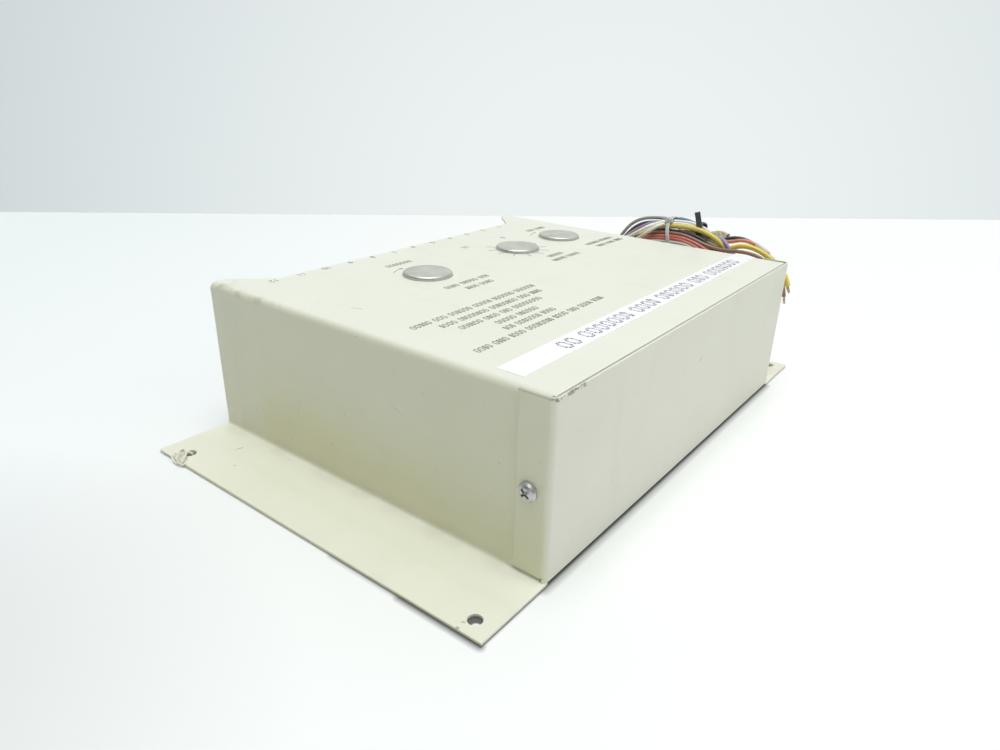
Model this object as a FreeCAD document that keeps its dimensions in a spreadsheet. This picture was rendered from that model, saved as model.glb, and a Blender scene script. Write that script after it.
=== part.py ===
import FreeCAD, Part
import math
import os
import re

import Sketcher

# Boxed electronic control module. Millimetres. X runs along the box, Y from the terminal side
# (-Y) to the screwed end cover (+Y), Z up from the underside of the mounting flanges. The
# origin is under the middle of the box, on the mounting plane.

DIMENSIONS = {
    # case
    "case_width": 237.6,
    "case_depth": 199.0,
    "case_height": 76.2,
    "sheet_gauge": 1.5,
    "bend_inside": 1.7,
    "flange_reach": 156.3,
    "flange_hole_x": 149.2,
    "flange_hole_dia": 5.75,
    "flange_hole_cover_y": 91.0,
    "flange_hole_terminal_y": -85.0,
    "notch_edge_y": -81.9,
    "notch_half_width": 92.5,
    "notch_corner_x": 110.0,
    # end cover
    "cover_gauge": 1.2,
    "cover_return": 15.0,
    "cover_lift": 1.8,
    "cover_relief": 1.8,
    "cover_gap": 0.4,
    "cover_bend_inside": 1.6,
    "cover_screw_y": 90.6,
    "cover_screw_z": 38.2,
    "screw_hole_dia": 4.4,
    # snap-in hole plugs, and the trimmers under them
    "plug_dia": 25.4,
    "plug_rise": 1.9,
    "plug_wall": 0.7,
    "plug_rim_round": 1.3,
    "plug_hole_dia": 22.2,
    "plug_skirt_dia": 21.8,
    "plug_skirt_drop": 7.0,
    "plug_slot_width": 2.5,
    "plug_seat_gap": 0.05,
    "plug_row_y": -33.0,
    "pot_dia": 24.0,
    "pot_body_rise": 10.5,
    "pot_bushing_dia": 9.4,
    "pot_bushing_rise": 8.0,
    "pot_shaft_dia": 6.3,
    "pot_running_gap": 0.05,
    "pot_shaft_top": 66.0,
    "pot_slot_width": 1.2,
    # terminal side
    "bracket_gauge": 1.2,
    "bracket_face_y": -98.9,
    "bracket_riser_y": -80.4,
    "bracket_bottom": 3.0,
    "ledge_top": 47.2,
    "end_play": 0.6,
    "pole_pitch": 15.48,
    "pole_first_x": 93.5,
    "block_depth": 14.0,
    "block_y": -90.4,
    "block_rise": 8.5,
    "barrier_rise": 15.0,
    "barrier_width": 1.8,
    "block_ear": 8.0,
    "plate_gauge": 0.8,
    "terminal_screw_dia": 3.5,
    # circuit board
    "board_length": 228.0,
    "board_width": 154.0,
    "board_gauge": 1.6,
    "board_centre_y": 5.0,
    "board_bottom": 21.6,
    "rail_length": 130.0,
    "rail_ledge": 11.2,
    "rail_gauge": 1.2,
    "board_screw_x": 110.5,
    "board_screw_y": 60.0,
    # transformer
    "core_width": 41.0,
    "core_rise": 34.0,
    "core_stack": 16.0,
    "core_window": 6.8,
    "core_window_rise": 20.6,
    "transformer_x": 74.0,
    "transformer_y": 42.0,
    # wire harness
    "grommet_y": -31.0,
    "grommet_z": 36.0,
    "grommet_hole_dia": 16.0,
    "grommet_bore_dia": 11.0,
    "bundle_dia": 10.0,
    "coil_x": -140.0,
    "coil_y": 29.0,
    "coil_z": 43.0,
    "coil_half_length": 66.0,
    "coil_half_rise": 41.0,
    "coil_band": 20.0,
    "coil_thick": 26.0,
    # label tape
    "label_length": 228.4,
    "label_width": 12.2,
    "label_gauge": 0.15,
    "label_end_x": 111.6,
    "label_low_y": 68.6,
}

Vec = FreeCAD.Vector
PLUG_XS = {"hole_plug_1": 38.0, "hole_plug_2": -39.0, "hole_plug_3": -83.0}
POLES = 12

doc = FreeCAD.newDocument("control_module")
sheet = doc.addObject("Spreadsheet::Sheet", "Dims")
nodes = []


def fill_sheet():
    for row, (alias, value) in enumerate(DIMENSIONS.items(), start=1):
        sheet.set(f"A{row}", alias)
        sheet.set(f"B{row}", str(value))
        sheet.setAlias(f"B{row}", alias)
    doc.recompute()


def in_sheet(formula):
    """The formula with each alias written the way an expression names a sheet's cell."""
    words = r"\b(" + "|".join(DIMENSIONS) + r")\b"
    return re.sub(words, r"Dims.\1", str(formula))


def bind(item, prop, formula):
    item.setExpression(prop, in_sheet(formula))


def place(item, spot):
    for axis, formula in zip("xyz", spot):
        bind(item, f"Placement.Base.{axis}", formula)
    return item


def node(item, label):
    item.Label = label
    nodes.append(item)
    return item


# Part primitives -----------------------------------------------------------------------

def box(name, size, low):
    item = doc.addObject("Part::Box", name)
    for prop, formula in zip(("Length", "Width", "Height"), size):
        bind(item, prop, formula)
    return place(item, low)


def cylinder(name, radius, height, base, axis="z"):
    item = doc.addObject("Part::Cylinder", name)
    bind(item, "Radius", radius)
    bind(item, "Height", height)
    turns = {"x": (Vec(0, 1, 0), 90), "y": (Vec(1, 0, 0), -90), "z": (Vec(0, 0, 1), 0)}
    item.Placement.Rotation = FreeCAD.Rotation(*turns[axis])
    return place(item, base)


def fuse(name, items):
    item = doc.addObject("Part::MultiFuse", name)
    item.Shapes = items
    return item


def cut(name, base, tool):
    item = doc.addObject("Part::Cut", name)
    item.Base = base
    item.Tool = tool
    return item


def group(name, items):
    item = doc.addObject("Part::Compound", name)
    item.Links = items
    return item


def rounded(name, base, radius, wanted):
    """A Part fillet on the base's edges for which wanted(edge) is true."""
    doc.recompute()
    item = doc.addObject("Part::Fillet", name)
    item.Base = base
    item.Edges = [(i, radius, radius) for i, edge in enumerate(base.Shape.Edges, 1) if wanted(edge)]
    return item


# PartDesign helpers --------------------------------------------------------------------

def new_body(name):
    return doc.addObject("PartDesign::Body", name)


def sketch_on(body, name, plane, offset="0"):
    sketch = body.newObject("Sketcher::SketchObject", name)
    origin = next(f for f in body.Origin.OriginFeatures if f.Role == plane)
    sketch.AttachmentSupport = (origin, "")
    sketch.MapMode = "FlatFace"
    bind(sketch, "AttachmentOffset.Base.z", offset)
    return sketch


def pin_point(sketch, geometry, vertex, spot, start):
    """Hold a point of the sketch at the two formulas, measured from the sketch's origin."""
    for kind, formula, value in zip(("DistanceX", "DistanceY"), spot, start):
        index = sketch.addConstraint(Sketcher.Constraint(kind, -1, 1, geometry, vertex, value))
        sketch.setExpression(f"Constraints[{index}]", in_sheet(formula))


def draw_polygon(sketch, corners):
    """A closed outline through corners given as pairs of formulas."""
    count = len(corners)
    ring = [Vec(50 * math.cos(2 * math.pi * i / count), 50 * math.sin(2 * math.pi * i / count), 0)
            for i in range(count)]
    first = sketch.GeometryCount
    for i in range(count):
        sketch.addGeometry(Part.LineSegment(ring[i], ring[(i + 1) % count]), False)
    for i in range(count):
        follower = first + (i + 1) % count
        sketch.addConstraint(Sketcher.Constraint("Coincident", first + i, 2, follower, 1))
    for i, corner in enumerate(corners):
        pin_point(sketch, first + i, 1, corner, (ring[i].x, ring[i].y))


def draw_rectangle(sketch, low, high):
    draw_polygon(sketch, [low, (high[0], low[1]), high, (low[0], high[1])])


def draw_circle(sketch, centre, diameter):
    index = sketch.addGeometry(Part.Circle(Vec(0, 0, 0), Vec(0, 0, 1), 5.0), False)
    pin_point(sketch, index, 3, centre, (0.0, 0.0))
    size = sketch.addConstraint(Sketcher.Constraint("Diameter", index, 10.0))
    sketch.setExpression(f"Constraints[{size}]", in_sheet(diameter))


def pad(body, sketch, length, both_ways=False):
    item = body.newObject("PartDesign::Pad", sketch.Name + "_pad")
    item.Profile = sketch
    item.Midplane = both_ways
    bind(item, "Length", length)
    doc.recompute()
    return item


def pocket(body, sketch, length, both_ways=False, backward=False):
    """A pocket that is checked to have taken material away."""
    before = body.Shape.Volume
    item = body.newObject("PartDesign::Pocket", sketch.Name + "_pocket")
    item.Profile = sketch
    item.Midplane = both_ways
    item.Reversed = backward
    bind(item, "Length", length)
    doc.recompute()
    if body.Shape.Volume >= before:
        raise RuntimeError(f"{item.Name} cuts nothing")
    return item


def round_edges(body, name, radius, wanted):
    """A PartDesign fillet on the edges of the body's tip for which wanted(edge) is true."""
    tip = body.Tip
    edges = [f"Edge{i}" for i, edge in enumerate(tip.Shape.Edges, 1) if wanted(edge)]
    item = body.newObject("PartDesign::Fillet", name)
    item.Base = (tip, edges)
    bind(item, "Radius", radius)
    doc.recompute()
    return item


def edge_at(edge, across, up, spots):
    """True for an edge whose middle has these two coordinates, within a hundredth."""
    middle = edge.CenterOfMass
    here = (abs(getattr(middle, across)), getattr(middle, up))
    return any(abs(here[0] - a) < 0.01 and abs(here[1] - b) < 0.01 for a, b in spots)


# Case ----------------------------------------------------------------------------------

def housing():
    """Hat-shaped sheet: top plate, two end walls and two mounting flanges."""
    body = new_body("housing")
    profile = sketch_on(body, "housing_profile", "XZ_Plane")
    half = "case_width / 2"
    right = [("flange_reach", "0"), ("flange_reach", "sheet_gauge"), (half, "sheet_gauge"),
             (half, "case_height")]
    left = [(f"-({x})", z) for x, z in reversed(right)]
    inner = [(f"-({half} - sheet_gauge)", "0"),
             (f"-({half} - sheet_gauge)", "case_height - sheet_gauge"),
             (f"{half} - sheet_gauge", "case_height - sheet_gauge"),
             (f"{half} - sheet_gauge", "0")]
    draw_polygon(profile, right + left + inner)
    pad(body, profile, "case_depth", both_ways=True)

    wall = DIMENSIONS["case_width"] / 2
    top = DIMENSIONS["case_height"]
    gauge = DIMENSIONS["sheet_gauge"]
    outsides = [(wall, top), (wall - gauge, 0)]
    insides = [(wall - gauge, top - gauge), (wall, gauge)]
    round_edges(body, "housing_outer_bends", "bend_inside + sheet_gauge",
                lambda edge: edge_at(edge, "x", "z", outsides))
    round_edges(body, "housing_inner_bends", "bend_inside",
                lambda edge: edge_at(edge, "x", "z", insides))

    trim = sketch_on(body, "housing_trim", "YZ_Plane")
    draw_rectangle(trim, ("case_depth / 2 - cover_gauge - cover_gap", "sheet_gauge"),
                   ("case_depth / 2 + 5", "case_height + 5"))
    pocket(body, trim, "case_width + 20", both_ways=True)

    corners = sketch_on(body, "housing_corner_trim", "XY_Plane", "sheet_gauge")
    stop = "case_depth / 2 - cover_gauge - cover_bend_inside - 0.2"
    inside = "case_width / 2 - cover_bend_inside - 0.2"
    draw_rectangle(corners, (inside, stop), ("case_width / 2 + 3", "case_depth / 2"))
    draw_rectangle(corners, ("-case_width / 2 - 3", stop), (f"-({inside})", "case_depth / 2"))
    pocket(body, corners, "case_height", backward=True)

    notch = sketch_on(body, "housing_notch", "XY_Plane")
    draw_polygon(notch, [("-notch_half_width", "notch_edge_y"), ("notch_half_width", "notch_edge_y"),
                         ("notch_corner_x", "-case_depth / 2"), ("notch_corner_x", "-case_depth / 2 - 5"),
                         ("-notch_corner_x", "-case_depth / 2 - 5"), ("-notch_corner_x", "-case_depth / 2")])
    pocket(body, notch, "case_height + 5", backward=True)

    holes = sketch_on(body, "housing_holes", "XY_Plane")
    for x in PLUG_XS.values():
        draw_circle(holes, (x, "plug_row_y"), "plug_hole_dia")
    for side in ("", "-"):
        for y in ("flange_hole_cover_y", "flange_hole_terminal_y"):
            draw_circle(holes, (f"{side}flange_hole_x", y), "flange_hole_dia")
    pocket(body, holes, "case_height + 5", backward=True)

    screws = sketch_on(body, "housing_screw_holes", "YZ_Plane")
    draw_circle(screws, ("cover_screw_y", "cover_screw_z"), "screw_hole_dia")
    pocket(body, screws, "case_width + 5", both_ways=True)

    outlet = sketch_on(body, "housing_wire_hole", "YZ_Plane")
    draw_circle(outlet, ("grommet_y", "grommet_z"), "grommet_hole_dia")
    pocket(body, outlet, "case_width / 2 + 5")
    return node(body, "housing")


def end_cover():
    """U-shaped sheet that closes the +Y side. Its returns lie outside the end walls and stop
    above the bend of the mounting flanges."""
    body = new_body("end_cover")
    outline = sketch_on(body, "end_cover_outline", "XY_Plane", "cover_lift")
    out = "case_width / 2 + cover_gauge"
    face = "case_depth / 2"
    heel = "case_depth / 2 - cover_return"
    draw_polygon(outline, [(f"-({out})", heel), (f"-({out})", face), (out, face), (out, heel),
                           ("case_width / 2", heel), ("case_width / 2", f"{face} - cover_gauge"),
                           ("-case_width / 2", f"{face} - cover_gauge"), ("-case_width / 2", heel)])
    pad(body, outline, "case_height - cover_lift")
    wall = DIMENSIONS["case_width"] / 2
    face_y = DIMENSIONS["case_depth"] / 2
    gauge = DIMENSIONS["cover_gauge"]
    round_edges(body, "end_cover_outer_bends", "cover_bend_inside + cover_gauge",
                lambda edge: edge_at(edge, "x", "y", [(wall + gauge, face_y)]))
    round_edges(body, "end_cover_inner_bends", "cover_bend_inside",
                lambda edge: edge_at(edge, "x", "y", [(wall, face_y - gauge)]))
    holes = sketch_on(body, "end_cover_holes", "YZ_Plane")
    draw_circle(holes, ("cover_screw_y", "cover_screw_z"), "screw_hole_dia")
    pocket(body, holes, "case_width + 20", both_ways=True)
    relief = sketch_on(body, "end_cover_relief", "XY_Plane", "cover_lift")
    inside = "case_width / 2 - 0.1"
    stop = "case_depth / 2 - cover_gauge - cover_gap"
    draw_rectangle(relief, (inside, f"{heel} - 1"), (f"{out} + 1", stop))
    draw_rectangle(relief, (f"-({out} + 1)", f"{heel} - 1"), (f"-({inside})", stop))
    pocket(body, relief, "cover_relief", backward=True)
    return node(body, "end_cover")


def cover_screws():
    """Phillips pan-head screws, one through each return flange of the end cover."""
    screws = []
    for side, label in ((1, "near"), (-1, "far")):
        body = new_body(f"cover_screw_{label}")
        section = sketch_on(body, f"cover_screw_{label}_section", "XZ_Plane")
        draw_polygon(section, [("0", "-9"), ("2", "-9"), ("2", "0"), ("3.9", "0"), ("3.9", "1"),
                               ("3.2", "1.9"), ("2.1", "2.35"), ("0", "2.5")])
        turn = body.newObject("PartDesign::Revolution", f"cover_screw_{label}_turn")
        turn.Profile = section
        turn.ReferenceAxis = (section, ["V_Axis"])
        turn.Angle = 360
        doc.recompute()
        cross = sketch_on(body, f"cover_screw_{label}_cross", "XY_Plane", "2.9")
        long, short = "2.1", "0.5"
        draw_polygon(cross, [(f"-{short}", f"-{long}"), (short, f"-{long}"), (short, f"-{short}"),
                             (long, f"-{short}"), (long, short), (short, short), (short, long),
                             (f"-{short}", long), (f"-{short}", short), (f"-{long}", short),
                             (f"-{long}", f"-{short}"), (f"-{short}", f"-{short}")])
        pocket(body, cross, "1.6")
        body.Placement.Rotation = FreeCAD.Rotation(Vec(0, 0, 1), Vec(side, 0, 0)).multiply(
            FreeCAD.Rotation(Vec(0, 0, 1), 46))
        place(body, (f"{side} * (case_width / 2 + cover_gauge)", "cover_screw_y", "cover_screw_z"))
        screws.append(body)
    return node(group("cover_screws", screws), "cover_screws")


def clip_nuts():
    """Spring clips inside the end walls that take the cover screws."""
    clips = []
    for side, label in ((1, "near"), (-1, "far")):
        plate = box(f"clip_plate_{label}", ("0.8", "11", "12"),
                    (f"{side} * (case_width / 2 - sheet_gauge - 0.4) - 0.4", "cover_screw_y - 5.5",
                     "cover_screw_z - 6"))
        boss = cylinder(f"clip_boss_{label}", "3.2", "2.4",
                        (f"{side} * (case_width / 2 - sheet_gauge - 2) - 1.2", "cover_screw_y",
                         "cover_screw_z"), "x")
        bore = cylinder(f"clip_bore_{label}", "2.05", "20",
                        (f"{side} * (case_width / 2 - sheet_gauge - 2) - 10", "cover_screw_y",
                         "cover_screw_z"), "x")
        clips.append(cut(f"clip_nut_{label}", fuse(f"clip_{label}", [plate, boss]), bore))
    return node(group("cover_clip_nuts", clips), "cover_clip_nuts")


def label_tape():
    tape = box("label_tape", ("label_length", "label_width", "label_gauge"),
               ("label_end_x - label_length", "label_low_y", "case_height"))
    return node(tape, "label_tape")


# Hole plugs and the trimmers under them ------------------------------------------------

def hole_plug(label, x):
    """Thin domed cap with a skirt of spring fingers."""
    body = new_body(label)
    section = sketch_on(body, f"{label}_section", "XZ_Plane")
    skirt = "plug_skirt_dia / 2"
    draw_polygon(section, [("0", "plug_rise - plug_wall"), ("0", "plug_rise"),
                           ("plug_dia / 2", "plug_rise"), ("plug_dia / 2", "0"), (skirt, "0"),
                           (skirt, "0.8 - plug_skirt_drop"), (f"{skirt} - 0.3", "-plug_skirt_drop"),
                           (f"{skirt} - plug_wall", "-plug_skirt_drop"),
                           (f"{skirt} - plug_wall", "plug_rise - plug_wall")])
    turn = body.newObject("PartDesign::Revolution", f"{label}_turn")
    turn.Profile = section
    turn.ReferenceAxis = (section, ["V_Axis"])
    turn.Angle = 360
    doc.recompute()
    rim = DIMENSIONS["plug_dia"] / 2
    rise = DIMENSIONS["plug_rise"]
    round_edges(body, f"{label}_rim", "plug_rim_round",
                lambda edge: edge.BoundBox.XMax > rim - 0.1 and abs(edge.BoundBox.ZMin - rise) < 0.01)
    slots = sketch_on(body, f"{label}_slots", "XZ_Plane")
    draw_rectangle(slots, ("-plug_slot_width / 2", "-plug_skirt_drop - 1"),
                   ("plug_slot_width / 2", "-1.2"))
    first = pocket(body, slots, "plug_dia", both_ways=True)
    fan = body.newObject("PartDesign::PolarPattern", f"{label}_fan")
    fan.Originals = [first]
    fan.Axis = (next(f for f in body.Origin.OriginFeatures if f.Role == "Z_Axis"), [""])
    fan.Angle = 180
    fan.Occurrences = 4
    body.Tip = fan
    place(body, (x, "plug_row_y", "case_height + plug_seat_gap"))
    return node(body, label)


def potentiometer(number, x):
    """Panel-style trimmer on the board: body with lugs, bushing and slotted shaft."""
    floor = "board_bottom + board_gauge"
    top = f"{floor} + pot_body_rise"
    bore = "pot_shaft_dia / 2 + pot_running_gap"
    can = cylinder(f"pot_can_{number}", "pot_dia / 2", "pot_body_rise", (x, "plug_row_y", floor))
    lugs = [box(f"pot_lug_{number}_{i}", ("2", "6", "0.8"),
                (f"{x} - 1 + {5 * i}", "plug_row_y - pot_dia / 2 - 4.5", f"{floor} + 4"))
            for i in (-1, 0, 1)]
    well = cylinder(f"pot_well_{number}", bore, "8", (x, "plug_row_y", f"{top} - 6"))
    body = cut(f"pot_body_{number}", fuse(f"pot_case_{number}", [can] + lugs), well)
    node(body, f"pot_body_{number}")

    sleeve = cylinder(f"pot_sleeve_{number}", "pot_bushing_dia / 2", "pot_bushing_rise",
                      (x, "plug_row_y", top))
    collar = cylinder(f"pot_collar_{number}", "pot_bushing_dia / 2 + 1.6", "2.2",
                      (x, "plug_row_y", top))
    passage = cylinder(f"pot_passage_{number}", bore, "30", (x, "plug_row_y", f"{top} - 5"))
    bushing = cut(f"pot_bushing_{number}", fuse(f"pot_thread_{number}", [sleeve, collar]), passage)
    node(bushing, f"pot_bushing_{number}")

    foot = f"{top} - 5.5"
    rod = cylinder(f"pot_rod_{number}", "pot_shaft_dia / 2", f"pot_shaft_top - ({foot})",
                   (x, "plug_row_y", foot))
    slot = box(f"pot_slot_{number}", ("pot_shaft_dia + 2", "pot_slot_width", "3"),
               (f"{x} - pot_shaft_dia / 2 - 1", "plug_row_y - pot_slot_width / 2",
                "pot_shaft_top - 2"))
    node(cut(f"pot_shaft_{number}", rod, slot), f"pot_shaft_{number}")


# Terminal side -------------------------------------------------------------------------

def terminal_bracket():
    """Bent sheet under the notch: closing panel, ledge for the terminals and riser."""
    body = new_body("terminal_bracket")
    profile = sketch_on(body, "bracket_profile", "YZ_Plane")
    inner_face = "bracket_face_y + bracket_gauge"
    inner_riser = "bracket_riser_y + bracket_gauge"
    under = "ledge_top - bracket_gauge"
    head = "case_height - sheet_gauge - end_play"
    draw_polygon(profile, [("bracket_face_y", "bracket_bottom"), ("bracket_face_y", "ledge_top"),
                           ("bracket_riser_y", "ledge_top"), ("bracket_riser_y", head),
                           (inner_riser, head), (inner_riser, under), (inner_face, under),
                           (inner_face, "bracket_bottom")])
    span = "case_width - 2 * sheet_gauge - 2 * end_play"
    pad(body, profile, span, both_ways=True)
    tabs = sketch_on(body, "bracket_tabs", "XY_Plane", "bracket_bottom + 4")
    edge = "case_width / 2 - sheet_gauge - end_play"
    draw_rectangle(tabs, (f"{edge} - bracket_gauge", "bracket_face_y + 0.6"),
                   (edge, "bracket_face_y + 12"))
    draw_rectangle(tabs, (f"-({edge})", "bracket_face_y + 0.6"),
                   (f"-({edge}) + bracket_gauge", "bracket_face_y + 12"))
    pad(body, tabs, "34")
    return node(body, "terminal_bracket")


def pole_xs():
    return [f"(pole_first_x - {i} * pole_pitch)" for i in range(POLES)]


def terminal_block():
    """Moulded strip with a barrier on each side of every pole and a mounting ear at each end."""
    strip = f"{POLES} * pole_pitch + barrier_width"
    left = f"pole_first_x - {POLES - 0.5} * pole_pitch - barrier_width / 2"
    low_y = "block_y - block_depth / 2"
    base = box("block_base", (f"{strip} + 2 * block_ear", "block_depth", "block_rise - 3"),
               (f"{left} - block_ear", low_y, "ledge_top"))
    deck = box("block_deck", (strip, "block_depth", "block_rise"), (left, low_y, "ledge_top"))
    walls = [box(f"block_barrier_{i}", ("barrier_width", "block_depth", "barrier_rise"),
                 (f"{left} + {i} * pole_pitch", low_y, "ledge_top")) for i in range(POLES + 1)]
    wells = [cylinder(f"block_well_{i}", "terminal_screw_dia / 2 + 0.1", "8",
                      (x, "block_y", "ledge_top + block_rise - 6")) for i, x in enumerate(pole_xs())]
    ears = [cylinder(f"block_ear_hole_{i}", "2.1", "20", (x, "block_y", "ledge_top - 1"))
            for i, x in enumerate(ear_xs())]
    solid = fuse("block_solid", [base, deck] + walls)
    return node(cut("terminal_block", solid, fuse("block_wells", wells + ears)), "terminal_block")


def ear_xs():
    reach = "barrier_width / 2 + block_ear / 2"
    return [f"(pole_first_x + pole_pitch / 2 + {reach})",
            f"(pole_first_x - {POLES - 0.5} * pole_pitch - ({reach}))"]


def terminal_plates():
    plates = []
    for i, x in enumerate(pole_xs()):
        leaf = box(f"plate_leaf_{i}", ("pole_pitch - 4.6", "block_depth - 3", "plate_gauge"),
                   (f"{x} - (pole_pitch - 4.6) / 2", "block_y - block_depth / 2 + 1.5",
                    "ledge_top + block_rise"))
        hole = cylinder(f"plate_hole_{i}", "terminal_screw_dia / 2 + 0.1", "4",
                        (x, "block_y", "ledge_top + block_rise - 1"))
        plates.append(cut(f"terminal_plate_{i}", leaf, hole))
    return node(group("terminal_plates", plates), "terminal_plates")


def slotted_screw(name, x, y, seat, head_radius, shank_radius, shank):
    """Vertical binding-head screw whose head rests on the height seat."""
    head = cylinder(f"{name}_head", head_radius, "2.2", (x, y, seat))
    rod = cylinder(f"{name}_rod", shank_radius, f"{shank} + 1", (x, y, f"{seat} - ({shank})"))
    slot = box(f"{name}_slot", (f"2 * ({head_radius}) + 2", "1", "2"),
               (f"{x} - ({head_radius}) - 1", f"{y} - 0.5", f"{seat} + 1.2"))
    return cut(name, fuse(f"{name}_solid", [head, rod]), slot)


def terminal_screws():
    seat = "ledge_top + block_rise + plate_gauge"
    screws = [slotted_screw(f"terminal_screw_{i}", x, "block_y", seat, "3.3",
                            "terminal_screw_dia / 2", "5") for i, x in enumerate(pole_xs())]
    return node(group("terminal_screws", screws), "terminal_screws")


def block_screws():
    screws = [slotted_screw(f"block_screw_{i}", x, "block_y", "ledge_top + block_rise - 3", "3",
                            "1.75", "5.4") for i, x in enumerate(ear_xs())]
    return node(group("terminal_block_screws", screws), "terminal_block_screws")


# Circuit board -------------------------------------------------------------------------

def board_rail(side, label):
    """Angle welded inside an end wall, with a ledge under the board's edge."""
    body = new_body(f"board_rail_{label}")
    profile = sketch_on(body, f"rail_{label}_profile", "XZ_Plane")
    outer = "(case_width / 2 - sheet_gauge - 0.1)"
    corners = [(outer, "board_bottom - 10"), (outer, "board_bottom"),
               (f"({outer} - rail_ledge)", "board_bottom"),
               (f"({outer} - rail_ledge)", "board_bottom - rail_gauge"),
               (f"({outer} - rail_gauge)", "board_bottom - rail_gauge"),
               (f"({outer} - rail_gauge)", "board_bottom - 10")]
    draw_polygon(profile, [(f"{side} * {x}", z) for x, z in corners])
    pad(body, profile, "rail_length", both_ways=True)
    holes = sketch_on(body, f"rail_{label}_holes", "XY_Plane")
    for y in ("board_screw_y", "-board_screw_y"):
        draw_circle(holes, (f"{side} * board_screw_x", y), "3.2")
    pocket(body, holes, "board_bottom + 5", backward=True)
    place(body, ("0", "board_centre_y", "0"))
    return node(body, f"board_rail_{label}")


def circuit_board():
    body = new_body("circuit_board")
    outline = sketch_on(body, "board_outline", "XY_Plane", "board_bottom")
    draw_rectangle(outline, ("-board_length / 2", "-board_width / 2"),
                   ("board_length / 2", "board_width / 2"))
    for x in ("board_screw_x", "-board_screw_x"):
        for y in ("board_screw_y", "-board_screw_y"):
            draw_circle(outline, (x, y), "3.2")
    pad(body, outline, "board_gauge")
    place(body, ("0", "board_centre_y", "0"))
    return node(body, "circuit_board")


def board_screws():
    screws = []
    for i, x in enumerate(("board_screw_x", "-board_screw_x")):
        for j, y in enumerate(("board_screw_y", "-board_screw_y")):
            screws.append(slotted_screw(f"board_screw_{i}{j}", x, f"(board_centre_y + {y})",
                                        "board_bottom + board_gauge", "2.8", "1.5", "6"))
    return node(group("board_screws", screws), "board_screws")


BOARD_TOP = "(board_bottom + board_gauge)"


def transformer():
    """Laminated core with a wound bobbin on its middle leg, held down by a strap."""
    foot = f"{BOARD_TOP} + 0.4"
    core = new_body("transformer_core")
    shape = sketch_on(core, "core_outline", "XZ_Plane")
    leg = "(core_width / 2 - 2 * core_window) / 2"
    draw_rectangle(shape, ("-core_width / 2", "0"), ("core_width / 2", "core_rise"))
    sill = "(core_rise - core_window_rise) / 2"
    draw_rectangle(shape, (leg, sill), (f"{leg} + core_window", f"core_rise - {sill}"))
    draw_rectangle(shape, (f"-({leg} + core_window)", sill), (f"-({leg})", f"core_rise - {sill}"))
    pad(core, shape, "core_stack", both_ways=True)
    place(core, ("transformer_x", "transformer_y", foot))
    node(core, "transformer_core")

    def ring(name, spread, depth, low, rise, inside, inside_depth):
        """A rectangular ring round the middle leg."""
        outer = box(f"{name}_outer", (f"2 * ({spread})", f"2 * ({depth})", rise),
                    (f"transformer_x - ({spread})", f"transformer_y - ({depth})", low))
        hole = box(f"{name}_hole", (f"2 * ({inside})", f"2 * ({inside_depth})", f"{rise} + 2"),
                   (f"transformer_x - ({inside})", f"transformer_y - ({inside_depth})", f"{low} - 1"))
        return cut(name, outer, hole)

    leg_x = f"{leg} + 0.1"
    leg_y = "core_stack / 2 + 0.1"
    tube_x = f"{leg} + 1"
    tube_y = "core_stack / 2 + 1"
    rim_x = f"{leg} + core_window - 0.3"
    rim_y = "core_stack / 2 + core_window - 0.3"
    low = f"{foot} + {sill} + 0.2"
    rise = "core_window_rise - 0.4"
    tube = ring("bobbin_tube", tube_x, tube_y, low, rise, leg_x, leg_y)
    lower = ring("bobbin_lower_rim", rim_x, rim_y, low, "1.2", leg_x, leg_y)
    upper = ring("bobbin_upper_rim", rim_x, rim_y, f"{low} + {rise} - 1.2", "1.2", leg_x, leg_y)
    node(fuse("transformer_bobbin", [tube, lower, upper]), "transformer_bobbin")
    winding = ring("transformer_winding_block", f"{rim_x} - 0.7", f"{rim_y} - 0.7", f"{low} + 1.2",
                   f"{rise} - 2.4", tube_x, tube_y)
    middle = (DIMENSIONS["transformer_x"], DIMENSIONS["transformer_y"])
    wound = rounded("transformer_winding", winding, 2.0,
                    lambda edge: abs(edge.CenterOfMass.x - middle[0]) > 9.2
                    and abs(edge.CenterOfMass.y - middle[1]) > 12 and edge.BoundBox.ZLength > 10)
    node(wound, "transformer_winding")

    strap = new_body("transformer_strap")
    bend = sketch_on(strap, "strap_profile", "XZ_Plane")
    near, far, end = "core_width / 2 + 0.1", "core_width / 2 + 1.1", "core_width / 2 + 9"
    high = "core_rise + 0.5"
    draw_polygon(bend, [(near, "-0.4"), (end, "-0.4"), (end, "0.6"), (far, "0.6"),
                        (far, f"{high} + 1"), (f"-({far})", f"{high} + 1"), (f"-({far})", "0.6"),
                        (f"-({end})", "0.6"), (f"-({end})", "-0.4"), (f"-({near})", "-0.4"),
                        (f"-({near})", high), (near, high)])
    pad(strap, bend, "core_stack - 4", both_ways=True)
    feet = sketch_on(strap, "strap_holes", "XY_Plane")
    for side in ("", "-"):
        draw_circle(feet, (f"{side}(core_width / 2 + 5)", "0"), "3.4")
    pocket(strap, feet, "5", both_ways=True)
    place(strap, ("transformer_x", "transformer_y", foot))
    node(strap, "transformer_strap")

    screws = [slotted_screw(f"transformer_screw_{i}", f"(transformer_x + {side} * (core_width / 2 + 5))",
                            "transformer_y", f"{foot} + 0.6", "2.8", "1.5", "1")
              for i, side in enumerate((1, -1))]
    node(group("transformer_screws", screws), "transformer_screws")


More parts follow.
